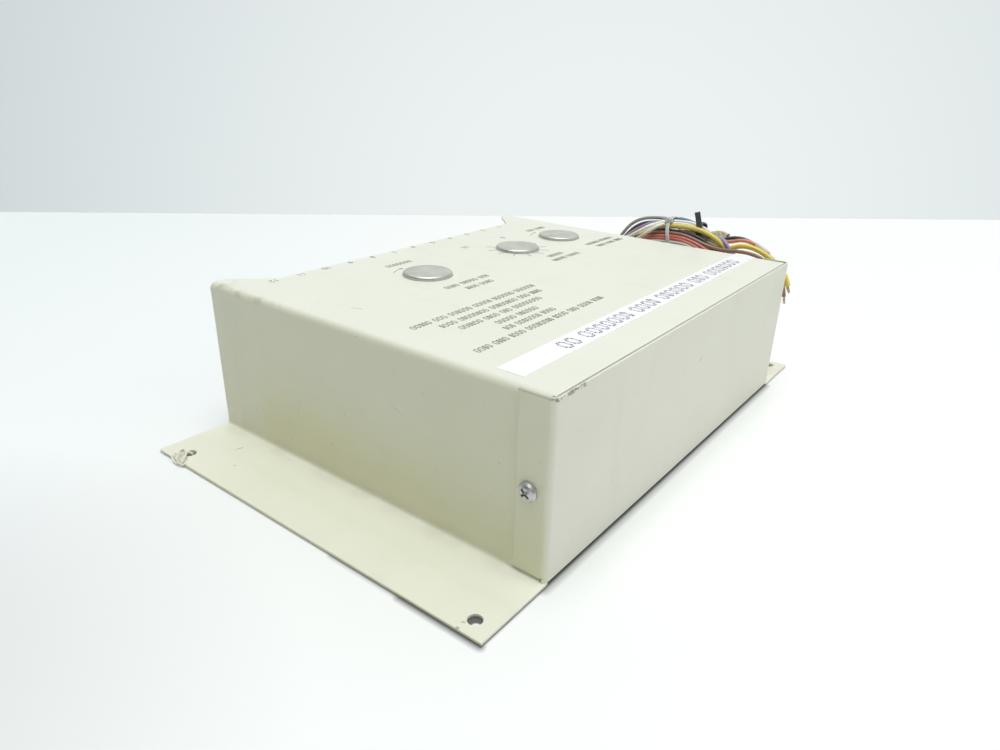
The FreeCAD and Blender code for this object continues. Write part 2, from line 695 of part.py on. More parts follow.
def relay(number, x, y):
    """Open-frame relay: the armature rocks on the round top of the yoke's heel and carries a
    contact leaf."""
    z = BOARD_TOP
    tag = f"relay_{number}"
    base = box(f"{tag}_base", ("33", "16", "3"), (f"{x} - 15", f"{y} - 8", z))
    node(base, f"{tag}_base")

    heel = box(f"{tag}_heel", ("2", "13", "20"), (f"{x} - 12", f"{y} - 6.5", f"{z} + 3"))
    pivot = cylinder(f"{tag}_pivot", "1", "13", (f"{x} - 11", f"{y} - 6.5", f"{z} + 23"), "y")
    sole = box(f"{tag}_sole", ("18", "13", "2"), (f"{x} - 12", f"{y} - 6.5", f"{z} + 3"))
    pole = cylinder(f"{tag}_pole", "2.5", "18", (x, y, f"{z} + 5"))
    face = cylinder(f"{tag}_pole_face", "4", "1", (x, y, f"{z} + 22"))
    node(fuse(f"{tag}_yoke", [heel, pivot, sole, pole, face]), f"{tag}_yoke")

    hollow = cylinder(f"{tag}_hollow", "2.6", "30", (x, y, f"{z} + 1"))
    spool = [cylinder(f"{tag}_spool", "3.4", "16.6", (x, y, f"{z} + 5.2")),
             cylinder(f"{tag}_spool_foot", "7.5", "1", (x, y, f"{z} + 5.2")),
             cylinder(f"{tag}_spool_head", "7.5", "1", (x, y, f"{z} + 20.8"))]
    node(cut(f"{tag}_bobbin", fuse(f"{tag}_spools", spool), hollow), f"{tag}_bobbin")
    winding = cylinder(f"{tag}_wire", "6.9", "14.6", (x, y, f"{z} + 6.2"))
    sleeve = cylinder(f"{tag}_sleeve", "3.4", "30", (x, y, f"{z} + 1"))
    node(cut(f"{tag}_coil", winding, sleeve), f"{tag}_coil")

    plate = box(f"{tag}_plate", ("21", "12", "1.4"), (f"{x} - 13.8", f"{y} - 6", f"{z} + 24.4"))
    lip = box(f"{tag}_lip", ("1.2", "12", "5"), (f"{x} - 13.8", f"{y} - 6", f"{z} + 20"))
    node(fuse(f"{tag}_armature", [plate, lip]), f"{tag}_armature")

    leaf = box(f"{tag}_leaf_strip", ("17", "4", "0.4"), (f"{x} - 1", f"{y} - 2", f"{z} + 25.8"))
    button = cylinder(f"{tag}_leaf_button", "1.3", "1", (f"{x} + 14", y, f"{z} + 25"))
    node(fuse(f"{tag}_contact_leaf", [leaf, button]), f"{tag}_contact_leaf")

    blade = box(f"{tag}_blade", ("0.8", "5", "19.2"), (f"{x} + 16.2", f"{y} - 2.5", f"{z} + 3"))
    arm = box(f"{tag}_arm", ("4.6", "5", "0.6"), (f"{x} + 12.4", f"{y} - 2.5", f"{z} + 21.6"))
    stud = cylinder(f"{tag}_stud", "1.3", "0.8", (f"{x} + 14", y, f"{z} + 22"))
    node(fuse(f"{tag}_fixed_contact", [blade, arm, stud]), f"{tag}_fixed_contact")


def small_parts():
    """Board components, each kind a group of separate solids."""
    cans = []
    for i, (x, y, radius, rise) in enumerate(((16, 56, 9, 34), (-8, 58, 8, 28))):
        can = cylinder(f"capacitor_can_{i}", radius, rise, (x, y, BOARD_TOP))
        cans.append(rounded(f"filter_capacitor_{i}", can, 1.2,
                            lambda edge: edge.BoundBox.ZLength < 0.01 and edge.BoundBox.ZMin > 40))
    node(group("filter_capacitors", cans), "filter_capacitors")

    films = []
    for i in range(4):
        film = box(f"film_{i}", ("13", "5", "10"), (-48 - 18 * i, 62, BOARD_TOP))
        films.append(rounded(f"film_capacitor_{i}", film, 1.0, lambda edge: edge.BoundBox.ZMin > 25))
    node(group("film_capacitors", films), "film_capacitors")

    spots = [(-98 + 9 * (i % 6), 2 + 13 * (i // 6)) for i in range(24)]
    node(group("resistors", [axial(f"resistor_{i}", x, y, 3.2, 1.5) for i, (x, y) in enumerate(spots)]),
         "resistors")
    spots = [(34 + 7 * i, 8) for i in range(4)]
    node(group("diodes", [axial(f"diode_{i}", x, y, 2.4, 1.2) for i, (x, y) in enumerate(spots)]),
         "diodes")

    flats = []
    for i in range(4):
        case = cylinder(f"transistor_can_{i}", "2.4", "5", (-30 + 11 * i, 12, f"{BOARD_TOP} + 3"))
        side = box(f"transistor_flat_{i}", ("6", "3", "7"), (-33 + 11 * i, 13.4, f"{BOARD_TOP} + 2"))
        legs = [box(f"transistor_leg_{i}{j}", ("0.5", "0.5", "4"),
                    (f"{-30.25 + 11 * i} + {1.3 * j}", 11.75, BOARD_TOP)) for j in (-1, 0, 1)]
        flats.append(fuse(f"transistor_{i}", [cut(f"transistor_body_{i}", case, side)] + legs))
    node(group("transistors", flats), "transistors")

    chips = []
    for i, x in enumerate((-30, 2)):
        shell = box(f"chip_shell_{i}", ("19", "6.4", "3.4"), (x, 30, f"{BOARD_TOP} + 1"))
        legs = [box(f"chip_leg_{i}_{j}_{k}", ("0.6", "1.2", "3.2"),
                    (x + 1.4 + 2.54 * j, 29.2 + 6.8 * k, BOARD_TOP)) for j in range(7) for k in (0, 1)]
        chips.append(fuse(f"op_amp_{i}", [shell] + legs))
    node(group("op_amps", chips), "op_amps")

    posts = [cylinder(f"wire_post_{i}", "0.9", "6", (-106, -60 + 4.2 * i, BOARD_TOP))
             for i in range(12)]
    node(group("wire_posts", posts), "wire_posts")


def axial(name, x, y, half_length, radius):
    """A component lying along Y, with its two leads bent down to the board."""
    height = f"{BOARD_TOP} + {radius} + 0.4"
    body = cylinder(f"{name}_body", radius, 2 * half_length, (x, y - half_length, height), "y")
    lead = cylinder(f"{name}_lead", "0.4", 2 * half_length + 4, (x, y - half_length - 2, height), "y")
    legs = [cylinder(f"{name}_leg_{i}", "0.3", f"{radius} + 0.5",
                     (x, y + side * (half_length + 1.5), BOARD_TOP)) for i, side in enumerate((1, -1))]
    return fuse(name, [body, lead] + legs)


# Harness, its ties and the tag string ---------------------------------------------------

def wire_grommet():
    """Rubber ring in the -X wall's hole; its two rims hold the sheet between them."""
    wall = "-case_width / 2"

    def disc(name, radius, length, x):
        """A round piece on the hole's axis, from x inward."""
        return cylinder(name, radius, length, (x, "grommet_y", "grommet_z"), "x")

    rim = "grommet_hole_dia / 2 + 2.6"
    neck = disc("grommet_neck", "grommet_hole_dia / 2 - 0.05", "7", f"{wall} - 2.7")
    outer = disc("grommet_outer_rim", rim, "2.6", f"{wall} - 2.7")
    inner = disc("grommet_inner_rim", rim, "2.6", f"{wall} + sheet_gauge + 0.1")
    bore = disc("grommet_bore", "grommet_bore_dia / 2", "20", f"{wall} - 10")
    return node(cut("wire_grommet", fuse("grommet_rings", [neck, outer, inner]), bore), "wire_grommet")


LEAD_ROUTE = [(-113.0, -31.0, 36.0), (-127.0, -31.0, 36.0), (-137.5, -30.6, 46.5), (-140.0, -27.0, 61.0)]
TAG_ROUTE = [(151.0, -88.3, 2.3), (153.2, -89.9, 3.3), (156.1, -90.9, 3.3), (157.9, -91.4, 1.0)]

TWINE_RADIUS = 0.7
CLEAR_TIE_Y = 15.5
BLACK_TIE_Y = 31.5


def cord_path(points):
    """Straight runs joined by tangent arcs, each as large as its two runs allow."""
    spots = [Vec(*p) for p in points]
    edges = []
    radii = []
    start = spots[0]
    for before, corner, after in zip(spots, spots[1:], spots[2:]):
        back = (before - corner).normalize()
        ahead = (after - corner).normalize()
        half_turn = (math.pi - back.getAngle(ahead)) / 2
        reach = 0.45 * min((before - corner).Length, (after - corner).Length)
        radius = reach / math.tan(half_turn)
        middle = corner + (back + ahead).normalize() * (radius / math.cos(half_turn) - radius)
        entry = corner + back * reach
        leave = corner + ahead * reach
        edges.append(Part.LineSegment(start, entry).toShape())
        edges.append(Part.Arc(entry, middle, leave).toShape())
        radii.append(round(radius, 1))
        start = leave
    edges.append(Part.LineSegment(start, spots[-1]).toShape())
    return Part.Wire(edges), radii


def cord_tube(label, points, radius):
    """A round tube along the route; its volume is held against section times length."""
    path, radii = cord_path(points)
    direction = Vec(*points[1]) - Vec(*points[0])
    ring = Part.Wire(Part.Circle(Vec(*points[0]), direction, radius).toShape())
    tube = path.makePipeShell([ring], True, False)
    expected = math.pi * radius ** 2 * path.Length
    print(label, "length", round(path.Length, 1), "radii", radii,
          "volume ratio", round(tube.Volume / expected, 3))
    return tube


def harness():
    """The bundle of leads as far as its coil, the coil's outer shape, and two cable ties."""
    lead = doc.addObject("Part::Feature", "harness_lead")
    lead.Shape = cord_tube("harness_lead", LEAD_ROUTE, DIMENSIONS["bundle_dia"] / 2)
    node(lead, "harness_lead")

    half_length = DIMENSIONS["coil_half_length"]
    half_rise = DIMENSIONS["coil_half_rise"]
    band = DIMENSIONS["coil_band"]
    thick = DIMENSIONS["coil_thick"]

    def oval(long_half, short_half):
        """An ellipse in the YZ plane with its long axis along Y."""
        curve = Part.Ellipse(Vec(0, long_half, 0), Vec(0, 0, short_half), Vec(0, 0, 0))
        return Part.Wire(curve.toShape())

    outer = oval(half_length, half_rise)
    inner = oval(half_length - band, half_rise - band)
    ring = Part.Face(outer).cut(Part.Face(inner)).Faces[0].extrude(Vec(thick, 0, 0))
    ring = ring.makeFillet(5.0, ring.Edges)
    coil = doc.addObject("Part::Feature", "harness_coil")
    coil.Shape = ring
    place(coil, ("coil_x - coil_thick / 2", "coil_y", "coil_z"))
    node(coil, "harness_coil")

    def tie(name, y, width, low, high):
        """A strap round the coil's upper bundle at the given Y."""
        outside = box(f"{name}_outer", ("coil_thick + 2.4", width, high - low),
                      ("coil_x - coil_thick / 2 - 1.2", y, low))
        inside = box(f"{name}_inner", ("coil_thick", width + 2, high - low - 2.4),
                     ("coil_x - coil_thick / 2", y - 1, low + 1.2))
        return cut(f"{name}_loop", outside, inside)

    clear = tie("clear_tie", CLEAR_TIE_Y, 2.6, 60.4, 84.5)
    lock = box("clear_tie_lock", ("4", "4", "3"), ("coil_x + 4", CLEAR_TIE_Y - 0.7, 83.7))
    node(fuse("harness_tie_clear", [clear, lock]), "harness_tie_clear")
    black = tie("black_tie", BLACK_TIE_Y, 4.5, 61.0, 85.2)
    head = box("black_tie_lock", ("6", "6", "4"), ("coil_x - 2", BLACK_TIE_Y - 0.8, 84.2))
    tail = box("black_tie_tail", ("1.3", "4.5", "8"), ("coil_x + 0.4", BLACK_TIE_Y, 87.0))
    node(fuse("harness_tie_black", [black, head, tail]), "harness_tie_black")


def tag_string():
    """Short end of twine that lies beside a flange hole and hangs over the flange's edge."""
    twine = doc.addObject("Part::Feature", "tag_string")
    twine.Shape = cord_tube("tag_string", TAG_ROUTE, TWINE_RADIUS)
    return node(twine, "tag_string")


# Build, check and write ------------------------------------------------------------------

def check_document():
    doc.recompute()
    for item in doc.Objects:
        if {"Invalid", "Error"} & set(item.State):
            raise RuntimeError(f"{item.Name} is {item.State}")
    for item in nodes:
        if item.Shape.isNull() or not item.Shape.isValid():
            raise RuntimeError(f"{item.Label} has no valid shape")


def write_parts():
    os.makedirs("parts", exist_ok=True)
    for item in nodes:
        item.Shape.exportStep(os.path.join("parts", f"{item.Label}.step"))
    print(len(nodes), "nodes written")


fill_sheet()
housing()
end_cover()
cover_screws()
clip_nuts()
label_tape()
for plug_number, (plug_label, plug_x) in enumerate(PLUG_XS.items(), start=1):
    hole_plug(plug_label, plug_x)
    potentiometer(plug_number, plug_x)
terminal_bracket()
terminal_block()
terminal_plates()
terminal_screws()
block_screws()
board_rail(1, "right")
board_rail(-1, "left")
circuit_board()
board_screws()
transformer()
relay(1, 84, -20)
relay(2, 84, -48)
small_parts()
wire_grommet()
harness()
tag_string()
check_document()
write_parts()
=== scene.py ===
import math
import random
from collections import namedtuple
from fnmatch import fnmatch

import bmesh
import bpy
from mathutils import Matrix, Vector


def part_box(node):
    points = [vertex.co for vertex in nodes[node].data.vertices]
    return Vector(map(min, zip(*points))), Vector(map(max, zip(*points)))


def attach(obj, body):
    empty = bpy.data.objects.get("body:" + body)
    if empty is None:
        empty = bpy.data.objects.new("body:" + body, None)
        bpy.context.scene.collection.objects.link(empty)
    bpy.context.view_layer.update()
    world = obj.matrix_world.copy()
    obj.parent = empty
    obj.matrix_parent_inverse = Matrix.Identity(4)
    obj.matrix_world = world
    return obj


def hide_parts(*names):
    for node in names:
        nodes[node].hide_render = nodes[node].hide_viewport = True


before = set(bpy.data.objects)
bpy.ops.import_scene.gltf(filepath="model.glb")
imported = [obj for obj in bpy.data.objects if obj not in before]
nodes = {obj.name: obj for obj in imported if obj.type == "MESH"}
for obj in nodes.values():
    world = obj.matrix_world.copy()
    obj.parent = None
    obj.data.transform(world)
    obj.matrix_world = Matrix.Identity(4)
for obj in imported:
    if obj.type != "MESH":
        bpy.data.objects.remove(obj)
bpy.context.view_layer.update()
MM = 0.001
PLUGS = ("hole_plug_1", "hole_plug_2", "hole_plug_3")


# --- Points, meshes and pieces ---

def mm(x, y, z):
    """A point in metres from its place in millimetres."""
    return Vector((x * MM, y * MM, z * MM))


def box_mm(node):
    """The low and high corners of a CAD node's box, in millimetres."""
    return [Vector(corner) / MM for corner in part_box(node)]


def link(name, data):
    """A new object in the scene."""
    thing = bpy.data.objects.new(name, data)
    bpy.context.scene.collection.objects.link(thing)
    return thing


def add_piece(name, data, finish):
    """A new object that rides on the case and takes its finish from a slot."""
    piece = link(name, data)
    data.materials.append(finish.material)
    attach(piece, "case")
    return piece


def mesh_from(builder, name, smooth=True):
    """A mesh made by builder(bm) in an empty bmesh."""
    bm = bmesh.new()
    builder(bm)
    bmesh.ops.recalc_face_normals(bm, faces=bm.faces)
    mesh = bpy.data.meshes.new(name)
    bm.to_mesh(mesh)
    bm.free()
    for polygon in mesh.polygons:
        polygon.use_smooth = smooth
    return mesh


def add_built(name, builder, finish, smooth=True):
    """A piece whose mesh a builder makes."""
    return add_piece(name, mesh_from(builder, name, smooth), finish)


def loft(bm, rings, joined=False):
    """Skin between rings of points that have the same count, with its ends shut or joined."""
    loops = [[bm.verts.new(point) for point in ring] for ring in rings]
    count = len(loops[0])
    pairs = list(zip(loops, loops[1:]))
    if joined:
        pairs.append((loops[-1], loops[0]))
    for before, after in pairs:
        for i in range(count):
            j = (i + 1) % count
            bm.faces.new((before[i], before[j], after[j], after[i]))
    if not joined:
        bm.faces.new(list(reversed(loops[0])))
        bm.faces.new(loops[-1])


def rounded_rectangle(centre, across, along, half_across, half_along, radius, steps=3):
    """A ring of points: a rectangle with round corners in the plane of two directions."""
    ring = []
    for corner in range(4):
        sign_a = 1 if corner in (0, 3) else -1
        sign_b = 1 if corner in (0, 1) else -1
        for i in range(steps + 1):
            angle = math.radians(90 * (corner + i / steps))
            a = sign_a * (half_across - radius) + radius * math.cos(angle)
            b = sign_b * (half_along - radius) + radius * math.sin(angle)
            ring.append(centre + across * (a * MM) + along * (b * MM))
    return ring


def circle(centre, side, other, radius, steps):
    """A ring of points round a centre, in the plane of two directions."""
    turns = (2 * math.pi * j / steps for j in range(steps))
    return [centre + (side * math.cos(a) + other * math.sin(a)) * radius for a in turns]


def carried_frames(line, joined=False):
    """For each point of a line: the way ahead and a side that doesn't twist along it."""
    frames = []
    side = None
    for i, point in enumerate(line):
        after = line[(i + 1) % len(line)] if joined else line[min(i + 1, len(line) - 1)]
        before = line[i - 1] if joined else line[max(i - 1, 0)]
        ahead = (after - before).normalized()
        side = ahead.orthogonal() if side is None else side - ahead * side.dot(ahead)
        side.normalize()
        frames.append((point, ahead, side))
    return frames


# --- Materials ---

def colour(red, green, blue):
    """A colour given as it looks on a screen, 0 to 255, as linear light."""
    def linear(value):
        share = value / 255
        return share / 12.92 if share <= 0.04045 else ((share + 0.055) / 1.055) ** 2.4
    return (linear(red), linear(green), linear(blue))


class Graph:
    """A node tree with short ways to add to it."""

    def __init__(self, tree):
        self.tree = tree

    def node(self, kind, inputs=None, **settings):
        """A node with its settings and its inputs; an input may be a value or an output."""
        node = self.tree.nodes.new(kind)
        for key, value in settings.items():
            setattr(node, key, value)
        for key, value in (inputs or {}).items():
            if isinstance(value, bpy.types.NodeSocket):
                self.tree.links.new(value, node.inputs[key])
            else:
                node.inputs[key].default_value = value
        return node

    def maths(self, operation, first, second=0.0):
        return self.node("ShaderNodeMath", {0: first, 1: second},
                         operation=operation).outputs["Value"]

    def times(self, first, *others):
        for other in others:
            first = self.maths("MULTIPLY", first, other)
        return first

    def spread(self, value, low, high, out_low=0.0, out_high=1.0):
        """value between low and high, mapped onto out_low to out_high and held there."""
        return self.node("ShaderNodeMapRange",
                         {"Value": value, "From Min": low, "From Max": high, "To Min": out_low,
                          "To Max": out_high}, clamp=True).outputs["Result"]

    def mix(self, share, first, second):
        """Two colours mixed; each is an output or a red, green and blue."""
        first, second = (tone if isinstance(tone, bpy.types.NodeSocket) else (*tone, 1)
                         for tone in (first, second))
        return self.node("ShaderNodeMix", {0: share, 6: first, 7: second},
                         data_type="RGBA").outputs[2]


class Finish(Graph):
    """A Principled material in the making. Places, widths and heights are in millimetres."""

    def __init__(self, name, **values):
        self.material = bpy.data.materials.new(name)
        self.material.use_nodes = True
        super().__init__(self.material.node_tree)
        self.shader = self.tree.nodes["Principled BSDF"]
        self.base = None
        for socket, value in values.items():
            self.shader.inputs[socket.replace("_", " ")].default_value = value

    def place(self, stretch=(1, 1, 1)):
        """The point's own place in the row frame, in metres, stretched along each axis."""
        coordinates = self.node("ShaderNodeTexCoord")
        return self.node("ShaderNodeMapping", {"Vector": coordinates.outputs["Object"],
                                               "Scale": stretch}).outputs["Vector"]

    def axes(self, vector):
        return self.node("ShaderNodeSeparateXYZ", {"Vector": vector}).outputs

    def noise(self, scale, detail=2.0, roughness=0.5, stretch=(1, 1, 1)):
        return self.node("ShaderNodeTexNoise",
                         {"Vector": self.place(stretch), "Scale": scale, "Detail": detail,
                          "Roughness": roughness}).outputs["Fac"]

    def away(self, output, at):
        """How far an output is from a value, in metres, for a value in millimetres."""
        return self.maths("ABSOLUTE", self.maths("SUBTRACT", output, at * MM))

    def between(self, output, low, high, out_low=0.0, out_high=1.0):
        """spread for an output in metres and limits in millimetres."""
        return self.spread(output, low * MM, high * MM, out_low, out_high)

    def near_segment(self, start, end, width):
        """1 on the line between two points, falling to 0 over the width."""
        a = mm(*start)
        run = mm(*end) - a
        offset = self.node("ShaderNodeVectorMath", {0: self.place(), 1: a},
                           operation="SUBTRACT").outputs["Vector"]
        dot = self.node("ShaderNodeVectorMath", {0: offset, 1: run}, operation="DOT_PRODUCT")
        share = self.spread(dot.outputs["Value"], 0, run.length_squared)
        foot = self.node("ShaderNodeVectorMath", {0: run, "Scale": share}, operation="SCALE")
        away = self.node("ShaderNodeVectorMath", {0: offset, 1: foot.outputs["Vector"]},
                         operation="DISTANCE")
        return self.between(away.outputs["Value"], 0, width, 1.0, 0.0)

    def tint(self, mask, strength, tone):
        """Goes over the base colour with a tone where the mask is."""
        self.base = self.mix(self.times(mask, strength), self.base, tone)
        self.feed("Base Color", self.base)

    def feed(self, socket, output):
        self.tree.links.new(output, self.shader.inputs[socket])

    def bump(self, height, distance):
        bump = self.node("ShaderNodeBump", {"Height": height, "Distance": distance * MM,
                                            "Strength": 1.0})
        self.feed("Normal", bump.outputs["Normal"])


def two_tone(name, low, high, grain, relief, edges=None, gloss=None, **values):
    """A finish in patches of two tones. grain is the patches' noise and edges their sharpness;
    relief is a noise and its height; gloss is a noise's scale and detail and the two
    roughnesses that it runs between."""
    skin = Finish(name, **values)
    patches = skin.noise(*grain)
    if edges:
        patches = skin.spread(patches, *edges)
    skin.base = skin.mix(patches, low, high)
    skin.feed("Base Color", skin.base)
    if gloss:
        scale, detail, least, most = gloss
        skin.feed("Roughness", skin.spread(skin.noise(scale, detail), 0.3, 0.7, least, most))
    *bumps, height = relief
    skin.bump(skin.noise(*bumps), height)
    return skin


# --- Camera, floor and light ---

# The camera's right, up and backward directions, and its place in metres.
CAMERA_RIGHT = Vector((-0.61126427, 0.79104614, 0.0245356))
CAMERA_UP = Vector((-0.30126483, -0.26124009, 0.91705677))
CAMERA_BACK = Vector((0.7318439, 0.55317232, 0.39800111))
CAMERA_PLACE = Vector((0.2958, 0.2096, 0.1742))
LENS = 25.585

# The table, in metres: two points of its far edge, how far it goes on past them at each side
# and towards the camera, and how far below the part it lies.
TABLE_EDGE = (Vector((-0.02, -0.787, 0)), Vector((-0.889, 0.158, 0)))
TABLE_SIDES = 3
TABLE_DEPTH = 4
FLOOR_Z = -0.0002

# Painted contact shadow: dark lines on the table along the part's foot, in millimetres: ends, width
# and strength.
CONTACT_SHADOW_LINES = [
    ((120, 99.0, 0), (-118, 99.0, 0), 4.0, 0.66),
    ((156.6, 62, 0), (156.6, 99, 0), 2.6, 0.85),
    ((156.6, 25, 0), (156.6, 60, 0), 1.8, 0.4),
]

# Light from each direction: weights of the direction's X, Y and Z, and an even part.
BACKDROP_MIDDLE = (-0.852, -0.478, -0.214)
BACKDROP_GLOW = (-0.32, -0.24, 0.0)
FLOOR_FILL = (0.0, 0.0, -0.7)
ROOM_SLOPE = (-0.16, 0.0, 0.36)
ROOM_LEVEL = 0.16
SKY_STRENGTH = 1.9
SKY_DEGREES = 40
SOFTBOX_PLACE = Vector((-0.3, 1.6, 0.9))
SOFTBOX_AIM = Vector((0, 0.1, 0))
SOFTBOX_SIZE = 1.2
SOFTBOX_POWER = 3.0


def make_camera():
    data = bpy.data.cameras.new("camera")
    data.sensor_width = 36.0
    data.lens = LENS
    data.clip_start = 0.01
    data.clip_end = 20.0
    camera = link("camera", data)
    turn = Matrix((CAMERA_RIGHT, CAMERA_UP, CAMERA_BACK)).transposed().to_4x4()
    camera.matrix_world = Matrix.Translation(CAMERA_PLACE) @ turn
    bpy.context.scene.camera = camera


def make_floor():
    """A white table top, seen from above only, with its far edge level across the view."""
    left, right = TABLE_EDGE
    edge = (right - left).normalized()
    toward = Vector((-edge.y, edge.x, 0))
    if toward.dot(CAMERA_PLACE - left) < 0:
        toward = -toward
    left, right = left - edge * TABLE_SIDES, right + edge * TABLE_SIDES
    near = toward * TABLE_DEPTH
    mesh = bpy.data.meshes.new("floor")
    mesh.from_pydata([(corner.x, corner.y, FLOOR_Z)
                      for corner in (left, right, right + near, left + near)], [], [(0, 1, 2, 3)])
    mesh.update()
    if mesh.polygons[0].normal.z < 0:
        mesh.flip_normals()
    floor = link("floor", mesh)

    top = Finish("table_white", Roughness=0.6)
    place = top.axes(top.place())
    # Painted shade: the table is darker towards −Y and +X, for the fall of the light across it.
    slope = top.maths("SUBTRACT", top.times(place["Y"], 0.8), top.times(place["X"], 0.6))
    slope = top.maths("ADD", slope, top.times(top.noise(4.0), 0.05))
    top.base = top.mix(top.spread(slope, -0.45, 0.1), (0.8, 0.85, 0.86), (0.91, 0.93, 0.92))
    # Painted contact shadow along the part's foot.
    for start, end, width, strength in CONTACT_SHADOW_LINES:
        top.tint(top.near_segment(start, end, width), strength, (0.11, 0.11, 0.115))
    # Painted shade under the part: the table is dark over the housing's footprint, and the camera
    # sees it through the holes and the gaps under the sheet.
    low, high = box_mm("housing")
    within = []
    for axis in (0, 1):
        middle, half = (low[axis] + high[axis]) / 2, (high[axis] - low[axis]) / 2
        within.append(top.between(top.away(place[axis], middle), half - 1.0, half + 0.8, 1.0, 0.0))
    inside = top.times(*within)
    top.tint(inside, 1.0, (0.125, 0.125, 0.12))
    # Painted light: a pale spot in the dark footprint, for lit table seen through the flange's
    # hole.
    hole_painted_light = top.near_segment((150.5, 92.4, 0), (150.3, 92.3, 0), 2.4)
    top.tint(top.spread(hole_painted_light, 0.1, 0.4), 1.0, (0.85, 0.87, 0.84))
    corner_shade = top.near_segment((350, -50, 0), (350, -49, 0), 190)
    top.tint(corner_shade, 0.33, (0.02, 0.02, 0.03))

    # Clear from below, and clear under the part to everything but the camera.
    below = top.node("ShaderNodeNewGeometry").outputs["Backfacing"]
    seen = top.node("ShaderNodeLightPath").outputs["Is Camera Ray"]
    clear = top.maths("MAXIMUM", below, top.maths("SUBTRACT", inside, seen))
    sheer = top.node("ShaderNodeBsdfTransparent")
    both = top.node("ShaderNodeMixShader", {0: clear, 1: top.shader.outputs["BSDF"],
                                            2: sheer.outputs["BSDF"]})
    top.tree.links.new(both.outputs["Shader"], top.tree.nodes["Material Output"].inputs["Surface"])
    mesh.materials.append(top.material)


def make_world():
    """Pale backdrop for the camera, paler in the middle as painted light; a softer room light from
    all round.
    """
    world = bpy.data.worlds.new("studio")
    bpy.context.scene.world = world
    world.use_nodes = True
    sky = Graph(world.node_tree)
    sky.tree.nodes.clear()
    direction = sky.node("ShaderNodeTexCoord").outputs["Generated"]

    def along(weights, level=0.0):
        dot = sky.node("ShaderNodeVectorMath", {0: direction, 1: weights}, operation="DOT_PRODUCT")
        return sky.maths("ADD", dot.outputs["Value"], level)

    paleness = sky.spread(along(BACKDROP_MIDDLE), 0.72, 0.98)
    shade = sky.mix(paleness, colour(207, 215, 217), colour(236, 242, 242))
    backdrop = sky.node("ShaderNodeBackground", {"Color": shade})
    lit = sky.maths("MAXIMUM", along(ROOM_SLOPE, ROOM_LEVEL))
    for weights in (BACKDROP_GLOW, FLOOR_FILL):
        lit = sky.maths("ADD", lit, sky.maths("MAXIMUM", along(weights)))
    room = sky.node("ShaderNodeBackground", {"Color": (0.97, 1.0, 0.99, 1), "Strength": lit})
    choose = sky.node("ShaderNodeMixShader", {
        0: sky.node("ShaderNodeLightPath").outputs["Is Camera Ray"],
        1: room.outputs["Background"], 2: backdrop.outputs["Background"]})
    sky.node("ShaderNodeOutputWorld", {"Surface": choose.outputs["Shader"]})


def make_lights():
    """Even light from a wide patch overhead, and a weak soft lamp on the cover's side."""
    wide = bpy.data.lights.new("overhead", "SUN")
    wide.energy = SKY_STRENGTH
    wide.angle = math.radians(SKY_DEGREES)
    link("overhead", wide).rotation_euler = [math.radians(turn) for turn in (-4, 3, 0)]
    soft = bpy.data.lights.new("cover_side", "AREA")
    soft.shape = "SQUARE"
    soft.size = SOFTBOX_SIZE
    soft.energy = SOFTBOX_POWER
    lamp = link("cover_side", soft)
    lamp.location = SOFTBOX_PLACE
    lamp.rotation_euler = (SOFTBOX_AIM - SOFTBOX_PLACE).to_track_quat("-Z", "Y").to_euler()


bpy.context.scene.view_settings.view_transform = "Standard"
make_camera()
make_floor()
make_world()
make_lights()


# --- Harness ---

# In millimetres; the pairs of a place are (Y, Z). The grommet's rings are their wires' count and
# their radius.
WIRE_DIAMETER = 2.3
THICK_WIRES = {"yellow": 3.1, "lemon": 3.1}
COIL_MIDDLE = (18.0, 43.0)
COIL_ROUNDNESS = 0.75
ARCH_FOOT = 52.0
GROMMET = (-31.0, 36.0)
GROMMET_FACE_X = -121.5
GROMMET_RINGS = ((4, 1.77), (10, 4.1))
FRONT_X = -126.4
NEAREST_X = -128.4
WIRE_SPACING = 1.87
STARTS_IN_FRONT = ("white", "cream")

